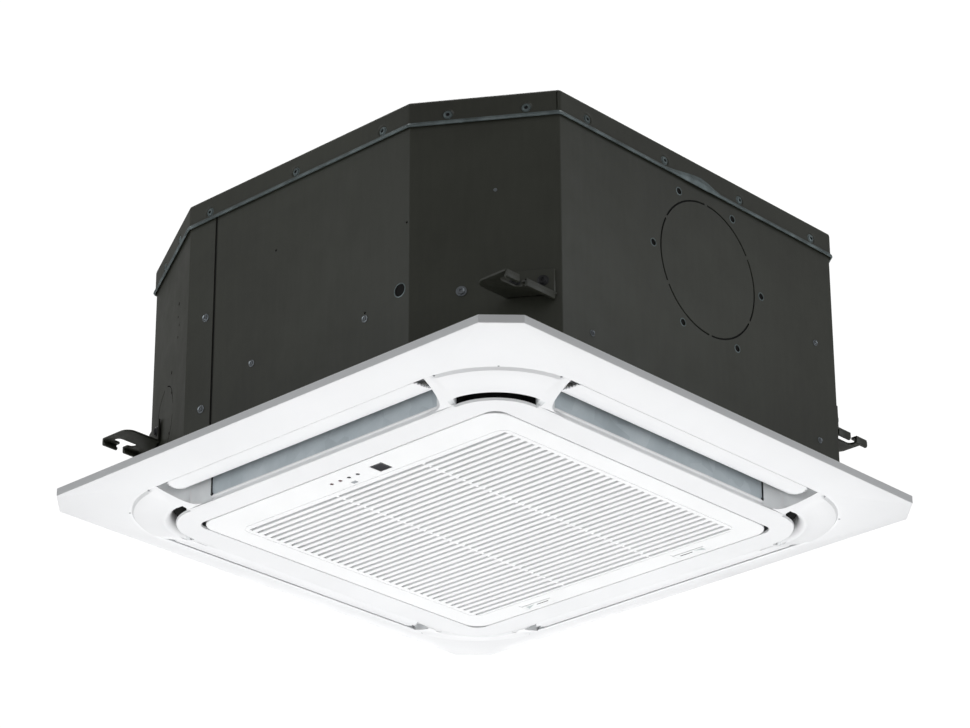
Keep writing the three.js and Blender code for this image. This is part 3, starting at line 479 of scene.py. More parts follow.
SEAM = -113.0
yF, yB = WALL[0][1], WALL[4][1]
main = sheet_wall("main_sheet", [(SEAM - 9, yF + 1.3), (SEAM + 1.2, yF + 1.3), (SEAM + 3.6, yF), WALL[1], WALL[2], WALL[3], WALL[4], (-139, yB)], 3, 286.4, 1.1, 3.0, PAINT, ROOT)
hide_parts("casing_main_sheet")
KY, KZ, KR = 18.6, 172.3, 73.0
slits = []
for i in range(6):  # knock-out ring: slits between six bridges
    a0, a1 = i * 60 + 31.6, i * 60 + 88.4
    w = 0.95
    p = arc(0, 0, KR + w, a0, a1, 10) + arc(0, 0, KR - w, a1, a0, 10)
    c = prism("slit", p, 0, 14, DARKIN, None)
    c.data.transform(Matrix.Translation(Vector((282 * MM, KY * MM, KZ * MM))) @ Matrix(((0, 0, 1, 0), (1, 0, 0, 0), (0, 1, 0, 0), (0, 0, 0, 1))))
    slits.append(c)
holes = join("slits", slits, None)
hl = []
for i in range(6):
    a = math.radians(i * 60)
    hl.append(cyl((283, KY + 84.3 * math.cos(a), KZ + 84.3 * math.sin(a)), (1, 0, 0), 3.5, 0, 14, 16))
hl.append(cyl((153, -290, 88), (0, 1, 0), 6.6, 0, 14, 24))
for x, z in ((106, 79.5), (-21.5, 192), (168 - 6, 158)):
    hl.append(cyl((x, -290, z), (0, 1, 0), 1.3, 0, 14, 10))
cut(main, [holes, join("holes", hl, None)], 30)
rims = []
def punched(p, nrm, r):  # raised, rounded edge left by the punch; its lighter bluish colour is partly wear, partly a painted highlight
    return spin("rim", [(r, -0.6), (r, 0.15), (r + 0.35, 0.32), (r + 0.9, 0.18), (r + 1.3, -0.1)], 20, p, nrm, WORN_AND_SHEEN, None, 60)
for i in range(6):
    a = math.radians(i * 60)
    rims.append(punched((WALL[2][0], KY + 84.3 * math.cos(a), KZ + 84.3 * math.sin(a)), (1, 0, 0), 3.5))
rims.append(punched((153, yF, 88), (0, -1, 0), 6.6))
join("punched_rims", rims, ROOT, 60)

left = sheet_wall("left_sheet", [(-140.4, yB - 0.2), WALL[5], WALL[6], WALL[7], WALL[0], (SEAM, yF)], 3, 286.4, 1.1, 3.5, PAINT, ROOT)
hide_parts("casing_left_sheet")
G, H = Vector(WALL[5]), Vector(WALL[6])
T = (H - G).normalized()
NN = Vector((T.y, -T.x)) * 1.0
if NN.dot(Vector((-1, 1))) < 0:
    NN = -NN
M = (G + H) / 2
def at(t, d, z):
    q = M + T * t + NN * d
    return (q.x, q.y, z)
window = prism("w", [at(-48, -6, 0)[:2], at(48, -6, 0)[:2], at(48, 6, 0)[:2], at(-48, 6, 0)[:2]], 106, 246, DARKIN, None)
ls = []
# left chamfer: a round knock-out and a column of small holes
A, B = Vector(WALL[7]), Vector(WALL[0])
TL = (B - A).normalized(); NL = Vector((TL.y, -TL.x)); ML = (A + B) / 2
def atl(t, d, z):
    q = ML + TL * t + NL * d
    return Vector((q.x, q.y, z))
for i in range(4):
    p = arc(0, 0, 36.8, i * 90 + 8, i * 90 + 78, 10) + arc(0, 0, 35.4, i * 90 + 78, i * 90 + 8, 10)
    c = prism("slit", p, -5, 5, DARKIN, None)
    mt = Matrix((Vector((TL.x, TL.y, 0)), Vector((0, 0, 1)), Vector((NL.x, NL.y, 0)))).transposed().to_4x4()
    mt.translation = atl(-13, 0, 84) * MM
    c.data.transform(mt)
    ls.append(c)
for t, z, r in ((36, 196, 2.2), (33, 182, 1.6), (40, 170, 1.4), (35, 158, 1.6), (12, 128, 2.0), (14, 104, 1.8), (10, 60, 1.8), (-30, 30, 2.2), (-32, 44, 1.8)):
    p = atl(t, 0, z)
    ls.append(cyl(p - Vector((NL.x, NL.y, 0)) * 6, (NL.x, NL.y, 0), r, 0, 12, 12))
cut(left, [window, join("ls", ls, None)], 30)
# a black sheet inside the casing: painted shade seen through the holes and the window
backing = sheet_wall("inner_dark", offs(BODY, 2.75)[6:] + offs(BODY, 2.75)[:4], 24, 276, 0.2, 2.5, DARKIN, ROOT)

def seam_screw(name, p, nrm, s=1.0, mt=SCREW, body=ROOT):
    """Washer head, turned round its axis, slightly worn."""
    pr = [(0.0, 0.9 * s), (1.4 * s, 0.9 * s), (1.7 * s, 1.9 * s), (3.0 * s, 2.3 * s), (3.35 * s, 1.9 * s), (3.5 * s, 0.9 * s), (4.6 * s, 0.75 * s), (4.8 * s, 0.2 * s), (4.6 * s, -0.3 * s)]
    return spin(name, pr, 18, p, nrm, mt, body, 35)

screws = []
for i, (x, z) in enumerate(((106, 73), (-53, 77))):
    screws.append(seam_screw("s", (x, yF, z), (0, -1, 0), 0.8))
for x, z in ((-123.5, 150.6), (-126, 49.6)):
    screws.append(seam_screw("s", (x, yF, z), (0, -1, 0), 0.95))
nc = Vector((WALL[2][1] - WALL[1][1], -(WALL[2][0] - WALL[1][0]), 0)).normalized()
def onc(x):  # point on the near chamfer
    t = (x - WALL[1][0]) / (WALL[2][0] - WALL[1][0])
    return (x, WALL[1][1] + (WALL[2][1] - WALL[1][1]) * t)
for x, z, s in ((208, 78, 1.15), (236, 184, 0.4)):
    q = onc(x)
    screws.append(seam_screw("s", (q[0], q[1], z), nc, s))
for y, z in ((-160, 40), (190, 40), (190, 150)):
    screws.append(seam_screw("s", (WALL[2][0], y, z), (1, 0, 0), 0.7))
for x, z in ((-160, 50), (60, 50), (170, 150), (-60, 200)):
    screws.append(seam_screw("s", (x, yB, z), (0, 1, 0), 0.8))
for y, z in ((-150, 50), (0, 50), (150, 50), (-150, 200), (150, 200)):
    screws.append(seam_screw("s", (WALL[7][0], y, z), (-1, 0, 0), 0.8))
for z in (40, 150, 240):
    screws.append(seam_screw("s", (-148, yB, z), (0, 1, 0), 0.9))
join("casing_screws", screws, ROOT, 35)

# ------------------------------------------------------------------ lid
TOP, SK = 288.8, 26.5
SUB = 40
zb = TOP - SK
prof = [(-0.9 - 4.0, TOP - 0.0), (-1.9, TOP - 0.5), (-0.4, TOP - 1.9), (0.0, TOP - 4.0), (0.0, zb + 4.2), (0.25, zb + 2.4), (1.0, zb + 1.2), (1.9, zb + 0.3), (2.2, zb - 0.9), (1.6, zb - 1.9), (0.5, zb - 2.1), (-0.5, zb - 1.4), (-0.9, zb - 0.2), (-1.2, zb + 3.0), (-1.2, TOP - 1.3)]
mrow = [0, 0, 0, 0, 0, 1, 1, 1, 1, 1, 0, 0, 0, 0, 0]
def lid_disp(i, j, q):
    x, y, z = q
    if x > 286 and 4 <= i <= 10:  # the curl opened and dented on the right side
        w = max(0.0, 1 - (10 - y) / 58.0) if y < 10 else max(0.0, 1 - (y - 10) / 34.0)
        w = w * w * (3 - 2 * w)
        if i in (4, 5):
            z += 7.0 * w; x += 0.2 * w
        elif i in (6, 7):
            z += 3.2 * w; x += 0.35 * w
        else:
            z -= 1.0 * w * (1 if i < 10 else 0)
        if 158 < y < 186 and i in (6, 7, 8):
            x -= 0.8 * math.sin((y - 158) / 28 * math.pi)
    return (x, y, z)
rings = [(ring(BODY, d, 5.0, 6, SUB), z) for d, z in prof]
# rows 5 to 9, the curl, take the worn edge material: partly wear, partly a painted highlight
lid = loft("lid_skirt", rings, None, ROOT, closed=True, angle=38, mats=[PAINT, WORN_AND_SHEEN], matrow=mrow, disp=lid_disp)
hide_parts("casing_lid")
# dimples with screws: (point, normal)
dim = []
for x in (-120.8, 6.4, 129):
    dim.append(((x, -285, 270.5), (0, -1, 0)))
for x in (198, 263):
    a, b = Vector(BODY[1]), Vector(BODY[2])
    t = (x - a.x) / (b.x - a.x)
    dim.append(((x, a.y + (b.y - a.y) * t, 271), tuple(nc)))
for y in (-163, -46, 72, 190):
    dim.append(((291, y, 271), (1, 0, 0)))
for x in (-130, 0, 150):
    dim.append(((x, 285, 271), (0, 1, 0)))
for y in (-150, 0, 130):
    dim.append(((-291, y, 271), (-1, 0, 0)))
a, b = Vector(BODY[7]), Vector(BODY[0])
for t in (0.3, 0.72):
    dim.append(((a.x + (b.x - a.x) * t, a.y + (b.y - a.y) * t, 271), (NL.x, NL.y, 0)))
a, b = Vector(BODY[5]), Vector(BODY[6])
for t in (0.25, 0.75):
    dim.append(((a.x + (b.x - a.x) * t, a.y + (b.y - a.y) * t, 271), (NN.x, NN.y, 0)))
a, b = Vector(BODY[3]), Vector(BODY[4])
nb = Vector((b.y - a.y, -(b.x - a.x), 0)).normalized()
dim.append((((a.x + b.x) / 2, (a.y + b.y) / 2, 271), tuple(nb)))
cs, dishes, heads = [], [], []
for p, nrm in dim:
    cs.append(cyl(tuple(Vector(p) - Vector(nrm) * 3), nrm, 6.6, 0, 6, 20))
    dishes.append(spin("d", [(6.9, -0.5), (6.75, 0.04), (6.2, 0.0), (5.4, -0.5), (4.4, -1.35), (3.6, -1.5), (0, -1.5)], 24, p, nrm, PAINT, None, 50))
    heads.append(spin("h", [(0, -1.5), (1.5, -1.4), (1.8, -0.5)], 18, p, nrm, BLACKP, None, 40))
    # the ring of each head takes the worn edge material: partly wear, partly a painted highlight
    heads.append(spin("h", [(1.75, -0.6), (2.1, 0.35), (3.1, 0.3), (3.9, -0.25), (4.2, -1.0), (5.0, -1.1), (5.1, -1.6)], 18, p, nrm, WORN_AND_SHEEN, None, 40))
# split of the skirt at the near right corner
q = Vector(BODY[2])
cs.append(boxo("split", q.x - 4, q.x + 3, q.y - 2.0, q.y - 0.8, zb + 3.2, TOP - 3.4, DARKIN))
cut(lid, cs, 38)
join("skirt_dimples", dishes, ROOT, 50)
join("skirt_screws", heads, ROOT, 40)

# top plate with pressed beads and a low round boss
prof2 = [(-4.9, TOP), (-12, TOP)]
top_rings = [(ring(BODY, -4.9, 5.0, 6, 1), TOP)]
tv, tf = [], []
bead = []
def bead_bar(x0, y0, x1, y1, w=9, h=1.5):
    d = Vector((x1 - x0, y1 - y0)); L = d.length; d.normalize(); nrm = Vector((-d.y, d.x))
    k = 9
    verts, faces = [], []
    ns = 24
    for i in range(ns + 1):
        t = i / ns
        s = min(1, min(t, 1 - t) * L / w)
        hh = math.sin(s * math.pi / 2)
        for j in range(k):
            a = -1 + 2 * j / (k - 1)
            p = Vector((x0, y0)) + d * (t * L) + nrm * (a * w * (0.25 + 0.75 * hh))
            verts.append((p.x, p.y, TOP - 0.15 + h * hh * (0.5 + 0.5 * math.cos(a * math.pi))))
    for i in range(ns):
        for j in range(k - 1):
            b = i * k + j
            faces.append((b, b + 1, b + k + 1, b + k))
    return make("bead", verts, faces, PAINT, None, 60)
o = ring(BODY, -4.5, 5.0, 6, 1)
plate = make("lid_top", [(x, y, TOP - 0.05) for x, y in o] + [(x, y, TOP - 1.2) for x, y in o], [tuple(range(len(o))), tuple(reversed(range(len(o), 2 * len(o))))], PAINT, ROOT)
bead += [bead_bar(-225, -170, -225, 150), bead_bar(225, -170, 225, 170), bead_bar(-120, -242, 140, -242), bead_bar(-140, 242, 150, 242)]
bead += [bead_bar(-190, -150, -120, -95, 7), bead_bar(190, -150, 120, -95, 7), bead_bar(-190, 150, -120, 95, 7), bead_bar(190, 150, 120, 95, 7)]
bead.append(spin("boss", [(96, -0.15), (98, 0.7), (101, 1.25), (104, 1.5), (107, 1.25), (110, 0.7), (112, -0.15)], 64, (0, 0, TOP), (0, 0, 1), PAINT, None, 60))
for i in range(3):
    a = i * 2 * math.pi / 3
    bead.append(seam_screw("s", (50 * math.cos(a), 50 * math.sin(a), TOP - 0.9), (0, 0, 1), 0.9))
join("lid_beads", bead, ROOT, 60)

# ------------------------------------------------------------------ hanger brackets
def bracket(name, node, fx, fy, p0, p1):
    X, Y, xi, BZ = 286.0, -277.0, 245.0, 67.0
    dd = (p1[0] - p0[0], p1[1] - p0[1])
    yat = lambda x: p0[1] + dd[1] * (x - p0[0]) / dd[0]
    g = 1.3
    r = 11
    plan = arc(xi + r, Y + r, r, 180, 270, 8) + arc(X - 3, Y + 3, 3, 270, 360, 5) + [(X, yat(X) - g)] + [(xi, yat(xi) - g)]
    b = prism("b", plan, BZ - 1.2, BZ + 1.2, PAINT, None)
    sl = arc(273, Y + 13, 5.0, 180, 360, 8) + [(278, Y + 17.6)] + arc(279.4, Y + 17.6, 1.4, 180, 90, 3) + [(298, Y + 19), (298, Y + 29)] + arc(279.4, Y + 30.4, 1.4, 270, 180, 3) + arc(273, Y + 31.5 - 1, 5.0, 0, 180, 8)
    c = prism("c", sl, BZ - 9, BZ + 9, DARKIN, None)
    lips = []
    for y0, y1 in ((Y + 1.2, Y + 19), (Y + 29, yat(X) - g - 2.4)):
        if y1 < y0 + 2:
            continue
        # rolled lip: a J section along Y
        sec = [(X - 3.4, BZ + 1.2), (X - 1.6, BZ + 1.2), (X - 0.4, BZ + 0.6), (X, BZ - 0.8), (X, BZ - 4.6), (X - 0.5, BZ - 6.2), (X - 1.8, BZ - 6.9), (X - 3.4, BZ - 6.6), (X - 4.2, BZ - 5.2), (X - 4.0, BZ - 3.6), (X - 2.6, BZ - 4.0), (X - 2.3, BZ - 1.4), (X - 3.4, BZ - 1.2)]
        k = len(sec)
        v = [(sx, y, sz) for y in (y0, y1) for sx, sz in sec]
        f = [tuple(range(k)), tuple(reversed(range(k, 2 * k)))] + [(i, (i + 1) % k, k + (i + 1) % k, k + i) for i in range(k)]
        lips.append(make("l", v, f, PAINT, None, 30))
    fl0, fl1 = (xi + 1, yat(xi + 1) - g), (X - 1, yat(X - 1) - g)
    fl = prism("f", [(fl0[0], fl0[1] - 2.4), (fl1[0], fl1[1] - 2.4), fl1, fl0], BZ - 1.2, BZ + 25.8, PAINT, None)
    cut(b, [c], 30)
    nrm = Vector((dd[1], -dd[0], 0)).normalized()
    sc = []
    for x, z in ((253, BZ + 14), (276, BZ + 14)):
        sc.append(seam_screw("s", (x, yat(x) - g - 2.3, z), (0, -1, 0) if False else tuple(nrm), 1.2, BLACKP))
    o = join(name, [b, fl] + lips + sc, None, 30)
    if fx < 0 or fy < 0:
        o.data.transform(Matrix.Diagonal((fx, fy, 1, 1)))
        if fx * fy < 0:
            o.data.flip_normals()
    bevel(o, 0.5, 2, 50, 40)
    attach(o, ROOT)
    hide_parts(node)
    return o
def fold(p, fx, fy):
    return (p[0] * fx, p[1] * fy)
bracket("bracket_front_right", "hanger_bracket_front_right", 1, 1, WALL[1], WALL[2])
bracket("bracket_back_right", "hanger_bracket_back_right", 1, -1, fold(WALL[4], 1, -1), fold(WALL[3], 1, -1))
bracket("bracket_front_left", "hanger_bracket_front_left", -1, 1, fold(WALL[0], -1, 1), fold(WALL[7], -1, 1))
bracket("bracket_back_left", "hanger_bracket_back_left", -1, -1, fold(WALL[5], -1, -1), fold(WALL[6], -1, -1))

# ------------------------------------------------------------------ panel
CC, L1R = 187.0, 98.0
ISL_R = 54.9
def cham(h, c, d=0.0, n=14):
    k = [(h - c, -h), (h, -h + c), (h, h - c), (h - c, h), (-h + c, h), (-h, h - c), (-h, -h + c), (-h + c, -h)]
    out = []
    for i in range(4):
        a, b = k[2 * i], k[2 * i + 1]
        for j in range(n + 1):
            out.append((a[0] + (b[0] - a[0]) * j / n, a[1] + (b[1] - a[1]) * j / n))
    return out
def rs(h, n=14):  # rounded square with its corner arcs about (187, 187)
    return rsq(h, h - CC, n)
fr = [(cham(325, 30), 0.0), (cham(325, 30), -7.7), (cham(324.75, 29.9), -8.25), (cham(324.1, 29.6), -8.6), (rs(288.4), -17.5), (rs(286.4), -17.45), (rs(285.3), -17.0), (rs(284.95), -16.35), (rs(285.25), -16.0), (rs(286.6), -15.0), (rs(286.7), -13.0), (rs(287.2), -13.0), (rs(287.2), -15.6), (cham(322.2, 28.8), -6.2), (cham(322.2, 28.8), 0.0)]
pf = loft("panel_outer", fr, WHITE, ROOT, angle=24)
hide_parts("panel_frame")
isl = [(rsq(210.2, 14, 14), -30.1), (rsq(210.6, 14.4, 14), -30.6), (rsq(214, 20, 14), -30.6), (rs(240.4), -30.6), (rs(241.2), -30.35), (rs(241.65), -29.7), (rs(241.75), -27.2), (rs(242.3), -26.4), (rs(243.5), -25.7), (rs(243.7), -24.6), (rs(241.2), -24.6), (rs(239), -27.9), (rsq(214, 20, 14), -27.9), (rsq(210.2, 14, 14), -27.9)]
island = loft("panel_island", isl, WHITE, ROOT, angle=24)
secs = []
for k in range(4):
    c = prism("c", arc(CC, -CC, 70, -92.0, 2.0, 24) + arc(CC, -CC, 52.0, 2.0, -92.0, 24), -34, -15, DARKIN, None)
    secs.append(turn(c, k))
cut(island, [join("secs", secs, None)], 24)
# wall of the grille opening
loft("opening_wall", [(rsq(217.4, 22, 10), -28.2), (rsq(217.4, 22, 10), -8.0), (rsq(218.6, 23.2, 10), -8.0), (rsq(218.6, 23.2, 10), -28.2)], GREY, ROOT)

OUTL = [(0.0, -242.0), (150.0, -243.9), (160.0, -244.1), (167.0, -245.4), (172.4, -247.8), (176.4, -252.6), (179.9, -259.5), (182.9, -267.5), (185.4, -276.0), (187.7, -285.4)]
def catmull(p, k=5):
    out = []
    for i in range(len(p) - 1):
        p0 = p[i - 1] if i else p[0]
        p1, p2 = p[i], p[i + 1]
        p3 = p[i + 2] if i + 2 < len(p) else p[-1]
        for j in range(k):
            t = j / k
            out.append(tuple(0.5 * ((2 * p1[a]) + (-p0[a] + p2[a]) * t + (2 * p0[a] - 5 * p1[a] + 4 * p2[a] - p3[a]) * t * t + (-p0[a] + 3 * p1[a] - 3 * p2[a] + p3[a]) * t ** 3) for a in (0, 1)))
    out.append(tuple(p[-1]))
    return out
CURVE = catmull(OUTL[1:], 5)        # outlet end, from the flat inner wall out to the tip
def x_out(y):  # x of the outlet's end at a given |y|
    for (x0, y0), (x1, y1) in zip(CURVE, CURVE[1:]):
        if (y0 >= -y >= y1) or (y0 <= -y <= y1):
            t = (-y - y0) / (y1 - y0) if abs(y1 - y0) > 1e-9 else 0
            return x0 + (x1 - x0) * t
    return 150.0 if y < 243 else 187.7
def band_z(r):
    if r <= 55.4:
        return -30.6
    if r < 58.4:
        t = (r - 55.4) / 3.0
        return -30.6 + t * t * 0.55
    return -30.05 + (r - 58.4) * (12.75 / 39.6)
def smooth(a, b, x):
    t = min(1, max(0, (x - a) / (b - a)))
    return t * t * (3 - 2 * t)
TH0, TH1 = -85.2, -4.8     # arc of the corner cover
S0, S1 = -92.0, 2.0       # arc of the slot, a little past the quarter circle
def surf(r, th, straight=0.0):
    """Underside of the band: r from the corner centre, th in degrees, raised towards the viewer inside the cover's arc."""
    z = band_z(r)
    e = smooth(-87.5, -80.5, th) * (1 - smooth(-9.5, -2.5, th)) if straight == 0 else 0.0
    up_ = 0.0
    if 68 < r <= 96.2:
        up_ = -2.1 * smooth(68, 94, r)
    elif 96.2 < r < 98.4:
        up_ = -2.1 * (98.4 - r) / 2.2
    if r < 66.4:
        up_ += 0.9 * (1 - (r - 63.6) / 2.8) ** 2 if r >= 63.6 else 0.9
    return z + up_ * e
def band_patch(name, rs_, cols, material, body, keep, thick=2.0):
    """cols: list of (kind, value): 's0' straight part before the arc, 'a' arc angle, 's1' straight part after it."""
    verts, grid = [], []
    for r in rs_:
        row = []
        for kind, v in cols:
            y = CC + r
            xo = x_out(y)
            xs = xo + (CC - xo) * v if v < 0.7 else CC - (1 - v) * min(12.0, CC - xo)
            if kind == "s0":
                p = (xs, -y); th = -90 - (1 - v) * 11; st = 1
            elif kind == "s1":
                p = (y, -xs); th = (1 - v) * 11; st = 1
            else:
                th = v; st = 0
                p = (CC + r * math.cos(math.radians(th)), -CC + r * math.sin(math.radians(th)))
            row.append((p[0], p[1], surf(r, th, st), r, th, st))
        grid.append(row)
    nR, nC = len(rs_), len(cols)
    idx = {}
    faces = []
    def vid(i, j):
        if (i, j) not in idx:
            idx[(i, j)] = len(verts)
            verts.append(grid[i][j][:3])
        return idx[(i, j)]
    kept = set()
    for i in range(nR - 1):
        for j in range(nC - 1):
            rm = (grid[i][j][3] + grid[i + 1][j][3]) / 2
            tm = (grid[i][j][4] + grid[i][j + 1][4]) / 2
            st = grid[i][j][5] or grid[i][j + 1][5]
            if keep(rm, tm, st):
                kept.add((i, j))
                faces.append((vid(i, j), vid(i, j + 1), vid(i + 1, j + 1), vid(i + 1, j)))
    # walls up from every free edge
    edges = {}
    for (i, j) in kept:
        for e in (((i, j), (i, j + 1)), ((i, j + 1), (i + 1, j + 1)), ((i + 1, j + 1), (i + 1, j)), ((i + 1, j), (i, j))):
            k = tuple(sorted(e))
            edges[k] = edges.get(k, 0) + 1
    tops = {}
    def tid(v):
        if v not in tops:
            x, y, z, r, th, st = grid[v[0]][v[1]]
            zz = z + thick
            tops[v] = len(verts)
            inarc = S0 - 0.1 <= th <= S1 + 0.1
            if abs(r - 63.6) < 0.01:
                zz = -11.0
                if inarc:
                    x += 2.0 * math.cos(math.radians(th)); y += 2.0 * math.sin(math.radians(th))
            elif r < 63 and inarc:
                zz = z + 0.5
            elif r > 98 and thick < 2.2:
                zz = -15.5
            verts.append((x, y, zz))
        return tops[v]
    for (a, b), c in edges.items():
        if c == 1:
            faces.append((vid(*a), vid(*b), tid(b), tid(a)))
    for (i, j) in kept:
        faces.append((tid((i, j)), tid((i + 1, j)), tid((i + 1, j + 1)), tid((i, j + 1))))
    return make(name, verts, faces, material, body, 30)

RS = [53.2, 54.6, 55.4, 56.2, 57.5, 59, 61, 63.6, 64.0, 64.6, 65.4, 66.4, 66.75, 67.0, 68, 69.5, 71.5, 74, 77, 80, 83, 86, 89, 92, 94.5, 96.2, 97.2, 98.4]
COLS = [("s0", t) for t in (0, 0.15, 0.3, 0.5, 0.7, 0.818)] + [("a", a) for a in [-90, -89.0, -87.2, -86.0, -85.3, -85.1, -84.6, -84.0] + [-83 + 2 * i for i in range(39)] + [-6.0, -5.4, -4.9, -4.7, -4.0, -2.8, -1.0, 0]] + [("s1", t) for t in (0.818, 0.7, 0.5, 0.3, 0.15, 0)]
def in_cover(r, th, st):
    return (not st) and 66.9 < r < 96.3 and -85.2 < th < -4.8
def in_slot(r, th, st):
    return r < 63.6 and S0 <= th <= S1
def in_gap(r, th, st):  # seams round the cover: none are cut, it always gives False
    return False
CORN = ["front_right", "back_right", "back_left", "front_left"]
for k in range(4):
    o = band_patch("band_" + CORN[k], RS, COLS, WHITE, None, lambda r, th, st: not in_cover(r, th, st) and not in_slot(r, th, st) and not in_gap(r, th, st))
    turn(o, k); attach(o, ROOT)
    c = band_patch("cover_" + CORN[k] + "_pad", RS, COLS, WHITE, None, lambda r, th, st: in_cover(r, th, st) and not in_gap(r, th, st), 2.4)
    turn(c, k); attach(c, "cover_" + CORN[k]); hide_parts("corner_cover_" + CORN[k])
    # bevelled ends of the slot, and black pieces behind it painted as the shade in the room above the slot
    ends = []
    for a, sgn in ((S0, 1), (S1, -1)):
        v = []
        for r in (52.0, 56.0, 60.0, 63.6):
            p = (CC + r * math.cos(math.radians(a)), -CC + r * math.sin(math.radians(a)), surf(max(r, 55), a) + 0.05)
            ai = a + sgn * (0.6 + 5.0 * (r - 52) / 11.6)
            q = (CC + r * math.cos(math.radians(ai)), -CC + r * math.sin(math.radians(ai)), surf(max(r, 55), a) + 3.4)
            w = (q[0], q[1], -11.0)
            v += [p, q, w]
        f = []
        for i in range(3):
            f += [(3 * i, 3 * i + 1, 3 * i + 4, 3 * i + 3), (3 * i + 1, 3 * i + 2, 3 * i + 5, 3 * i + 4)]
        ends.append(make("e", v, f, DUCT, None, 30))
    rm = prism("r", arc(CC, -CC, 66.6, -93, 3, 24) + arc(CC, -CC, 36.0, 3, -93, 24), -12.6, -11.2, DARKIN, None)
    iw = prism("r", arc(CC, -CC, 37.4, -93, 3, 24) + arc(CC, -CC, 36.4, 3, -93, 24), -27.6, -12.0, DARKIN, None)
    bk = []
    for a in (-92.4, 2.4):
        c_, s_ = math.cos(math.radians(a)), math.sin(math.radians(a))
        bk.append(prism("r", [(CC + 36 * c_ - 0.4 * s_, -CC + 36 * s_ + 0.4 * c_), (CC + 56.6 * c_ - 0.4 * s_, -CC + 56.6 * s_ + 0.4 * c_), (CC + 56.6 * c_ + 0.4 * s_, -CC + 56.6 * s_ - 0.4 * c_), (CC + 36 * c_ + 0.4 * s_, -CC + 36 * s_ - 0.4 * c_)], -27.6, -12, DARKIN, None))
    fl_ = prism("r", arc(CC, -CC, 51.9, -92, 2, 24) + arc(CC, -CC, 36.0, 2, -92, 24), -27.9, -27.4, DARKIN, None)
    # lip of the inner edge and the cove that leads the air up
    angs = [S0 + (S1 - S0) * i / 32 for i in range(33)]
    def sweep(sec, mt):
        v = [(CC + r * math.cos(math.radians(a)), -CC + r * math.sin(math.radians(a)), z) for a in angs for r, z in sec]
        n = len(sec)
        return make("sw", v, [(i * n + j, i * n + j + 1, (i + 1) * n + j + 1, (i + 1) * n + j) for i in range(32) for j in range(n - 1)], mt, None, 50)
    lip = sweep([(51.8, -30.62), (52.1, -30.55), (52.9, -28.2), (52.4, -27.8), (51.8, -27.8)], WHITE)
    cove = sweep([(63.7, surf(63.6, -45) - 0.02), (62.6, -26.9), (61.0, -25.6), (59.2, -23.4), (57.8, -20.4), (57.0, -16.5), (56.8, -12.4)], WHITE)
    o = join("slot_ends_" + CORN[k], ends + [rm, iw, fl_, lip, cove] + bk, None, 30)
    turn(o, k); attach(o, ROOT)
    # three little notches round the cover's edge, drawn as small dark grey nubs: the dark grey is painted shade in the
    # notches
    nt_ = []
    for a, rr, zz in ((-82.5, 98.0, -18.2), (-45.0, 100.4, -17.75), (-7.5, 98.0, -18.2)):
        nt_.append(spin("n", [(0, -0.25), (0.8, -0.2), (1.15, 0.1), (1.2, 1.2)], 12, (CC + rr * math.cos(math.radians(a)), -CC + rr * math.sin(math.radians(a)), zz), (0, 0, 1), NOTCH_SHADE, None, 40))
    o = join("cover_notches_" + CORN[k], nt_, None, 40)
    turn(o, k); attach(o, ROOT)

# outlets: curved end walls, outer wall, throat
for k in range(4):
    side = ["front", "right", "back", "left"][k]
    parts = []
    for sx in (1, -1):
        far = (sx < 0) == (k != 1)      # the end at which the joint between sheet and plastic shows
        pts = [(sx * x, y) for x, y in CURVE if far or x > 165.0]
        v, f = [], []
        for x, y in pts:
            zz = surf(-y - CC, -90, 1)
            v += [(x, y, zz + 0.6), (x, y + 0.0, -14), (x * 0.998, y + 0.6, 2.0)]
        n = len(pts)
        for i in range(n - 1):
            f += [(3 * i, 3 * i + 1, 3 * i + 4, 3 * i + 3), (3 * i + 1, 3 * i + 2, 3 * i + 5, 3 * i + 4)]
        parts.append(make("w", v, f, DUCT, None, 40))
        # the upright joint between plastic end wall and sheet-metal sleeve
        if far:
            parts.append(boxo("j", *sorted((sx * 149.3, sx * 150.4)), -244.6, -243.2, -25.4, 2, BLACKP, None))
            parts.append(spin("jr", [(0, 0), (1.6, 0), (1.6, 1.2), (0.9, 1.7), (0, 1.7)], 10, (sx * 149.2, -243.4, -23.8), (0, -1, 0), BLACKP, None))
    # outer wall of the duct
    v = [(-190, -285.0, -14), (190, -285.0, -14), (190, -289.0, -13.6), (-190, -289.0, -13.6), (190, -289, -8), (-190, -289, -8), (190, -272, 2.5), (-190, -272, 2.5)]
    parts.append(make("o", v, [(0, 1, 2, 3), (3, 2, 4, 5), (5, 4, 6, 7)], DUCT, None, 40))
    o = join("outlet_walls_" + side, parts, None, 40)
    turn(o, k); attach(o, ROOT)
plates = []
for k in range(4):
    x0, x1 = (-166.5, 149.8) if k == 1 else (-149.8, 166.5)
    plates.append(turn(boxo("p", x0, x1, -243.3, -242.2, -25.7, 2.0, SLEEVE, None), k))
sl = join("sleeve", plates, ROOT, 30)
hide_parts("discharge_sleeve")

# back of the panel, seen from above round the body
loft("panel_back", [(cham(322.4, 28.9), -6.0), (rs(288), -15.4), (rs(288), -8.0), (rs(280), -3.2), (rs(262), -3.2), (rs(262), -4.4), (rs(279.4), -4.4), (rs(286.6), -8.8), (rs(286.6), -17.0), (cham(322.4, 28.9), -7.4)], WHITE, ROOT, angle=24)
ribs = []
for k in range(4):
    for i in range(-3, 4):
        x = i * 52
        v = [(x - 0.7, -322.5, -0.6), (x + 0.7, -322.5, -0.6), (x + 0.7, -322.5, -7), (x - 0.7, -322.5, -7), (x - 0.7, -287.5, -3.4), (x + 0.7, -287.5, -3.4), (x + 0.7, -287.5, -16), (x - 0.7, -287.5, -16)]
        f = [(0, 1, 2, 3), (4, 7, 6, 5), (0, 4, 5, 1), (1, 5, 6, 2), (2, 6, 7, 3), (3, 7, 4, 0)]
        ribs.append(turn(make("r", v, f, WHITE, None), k))
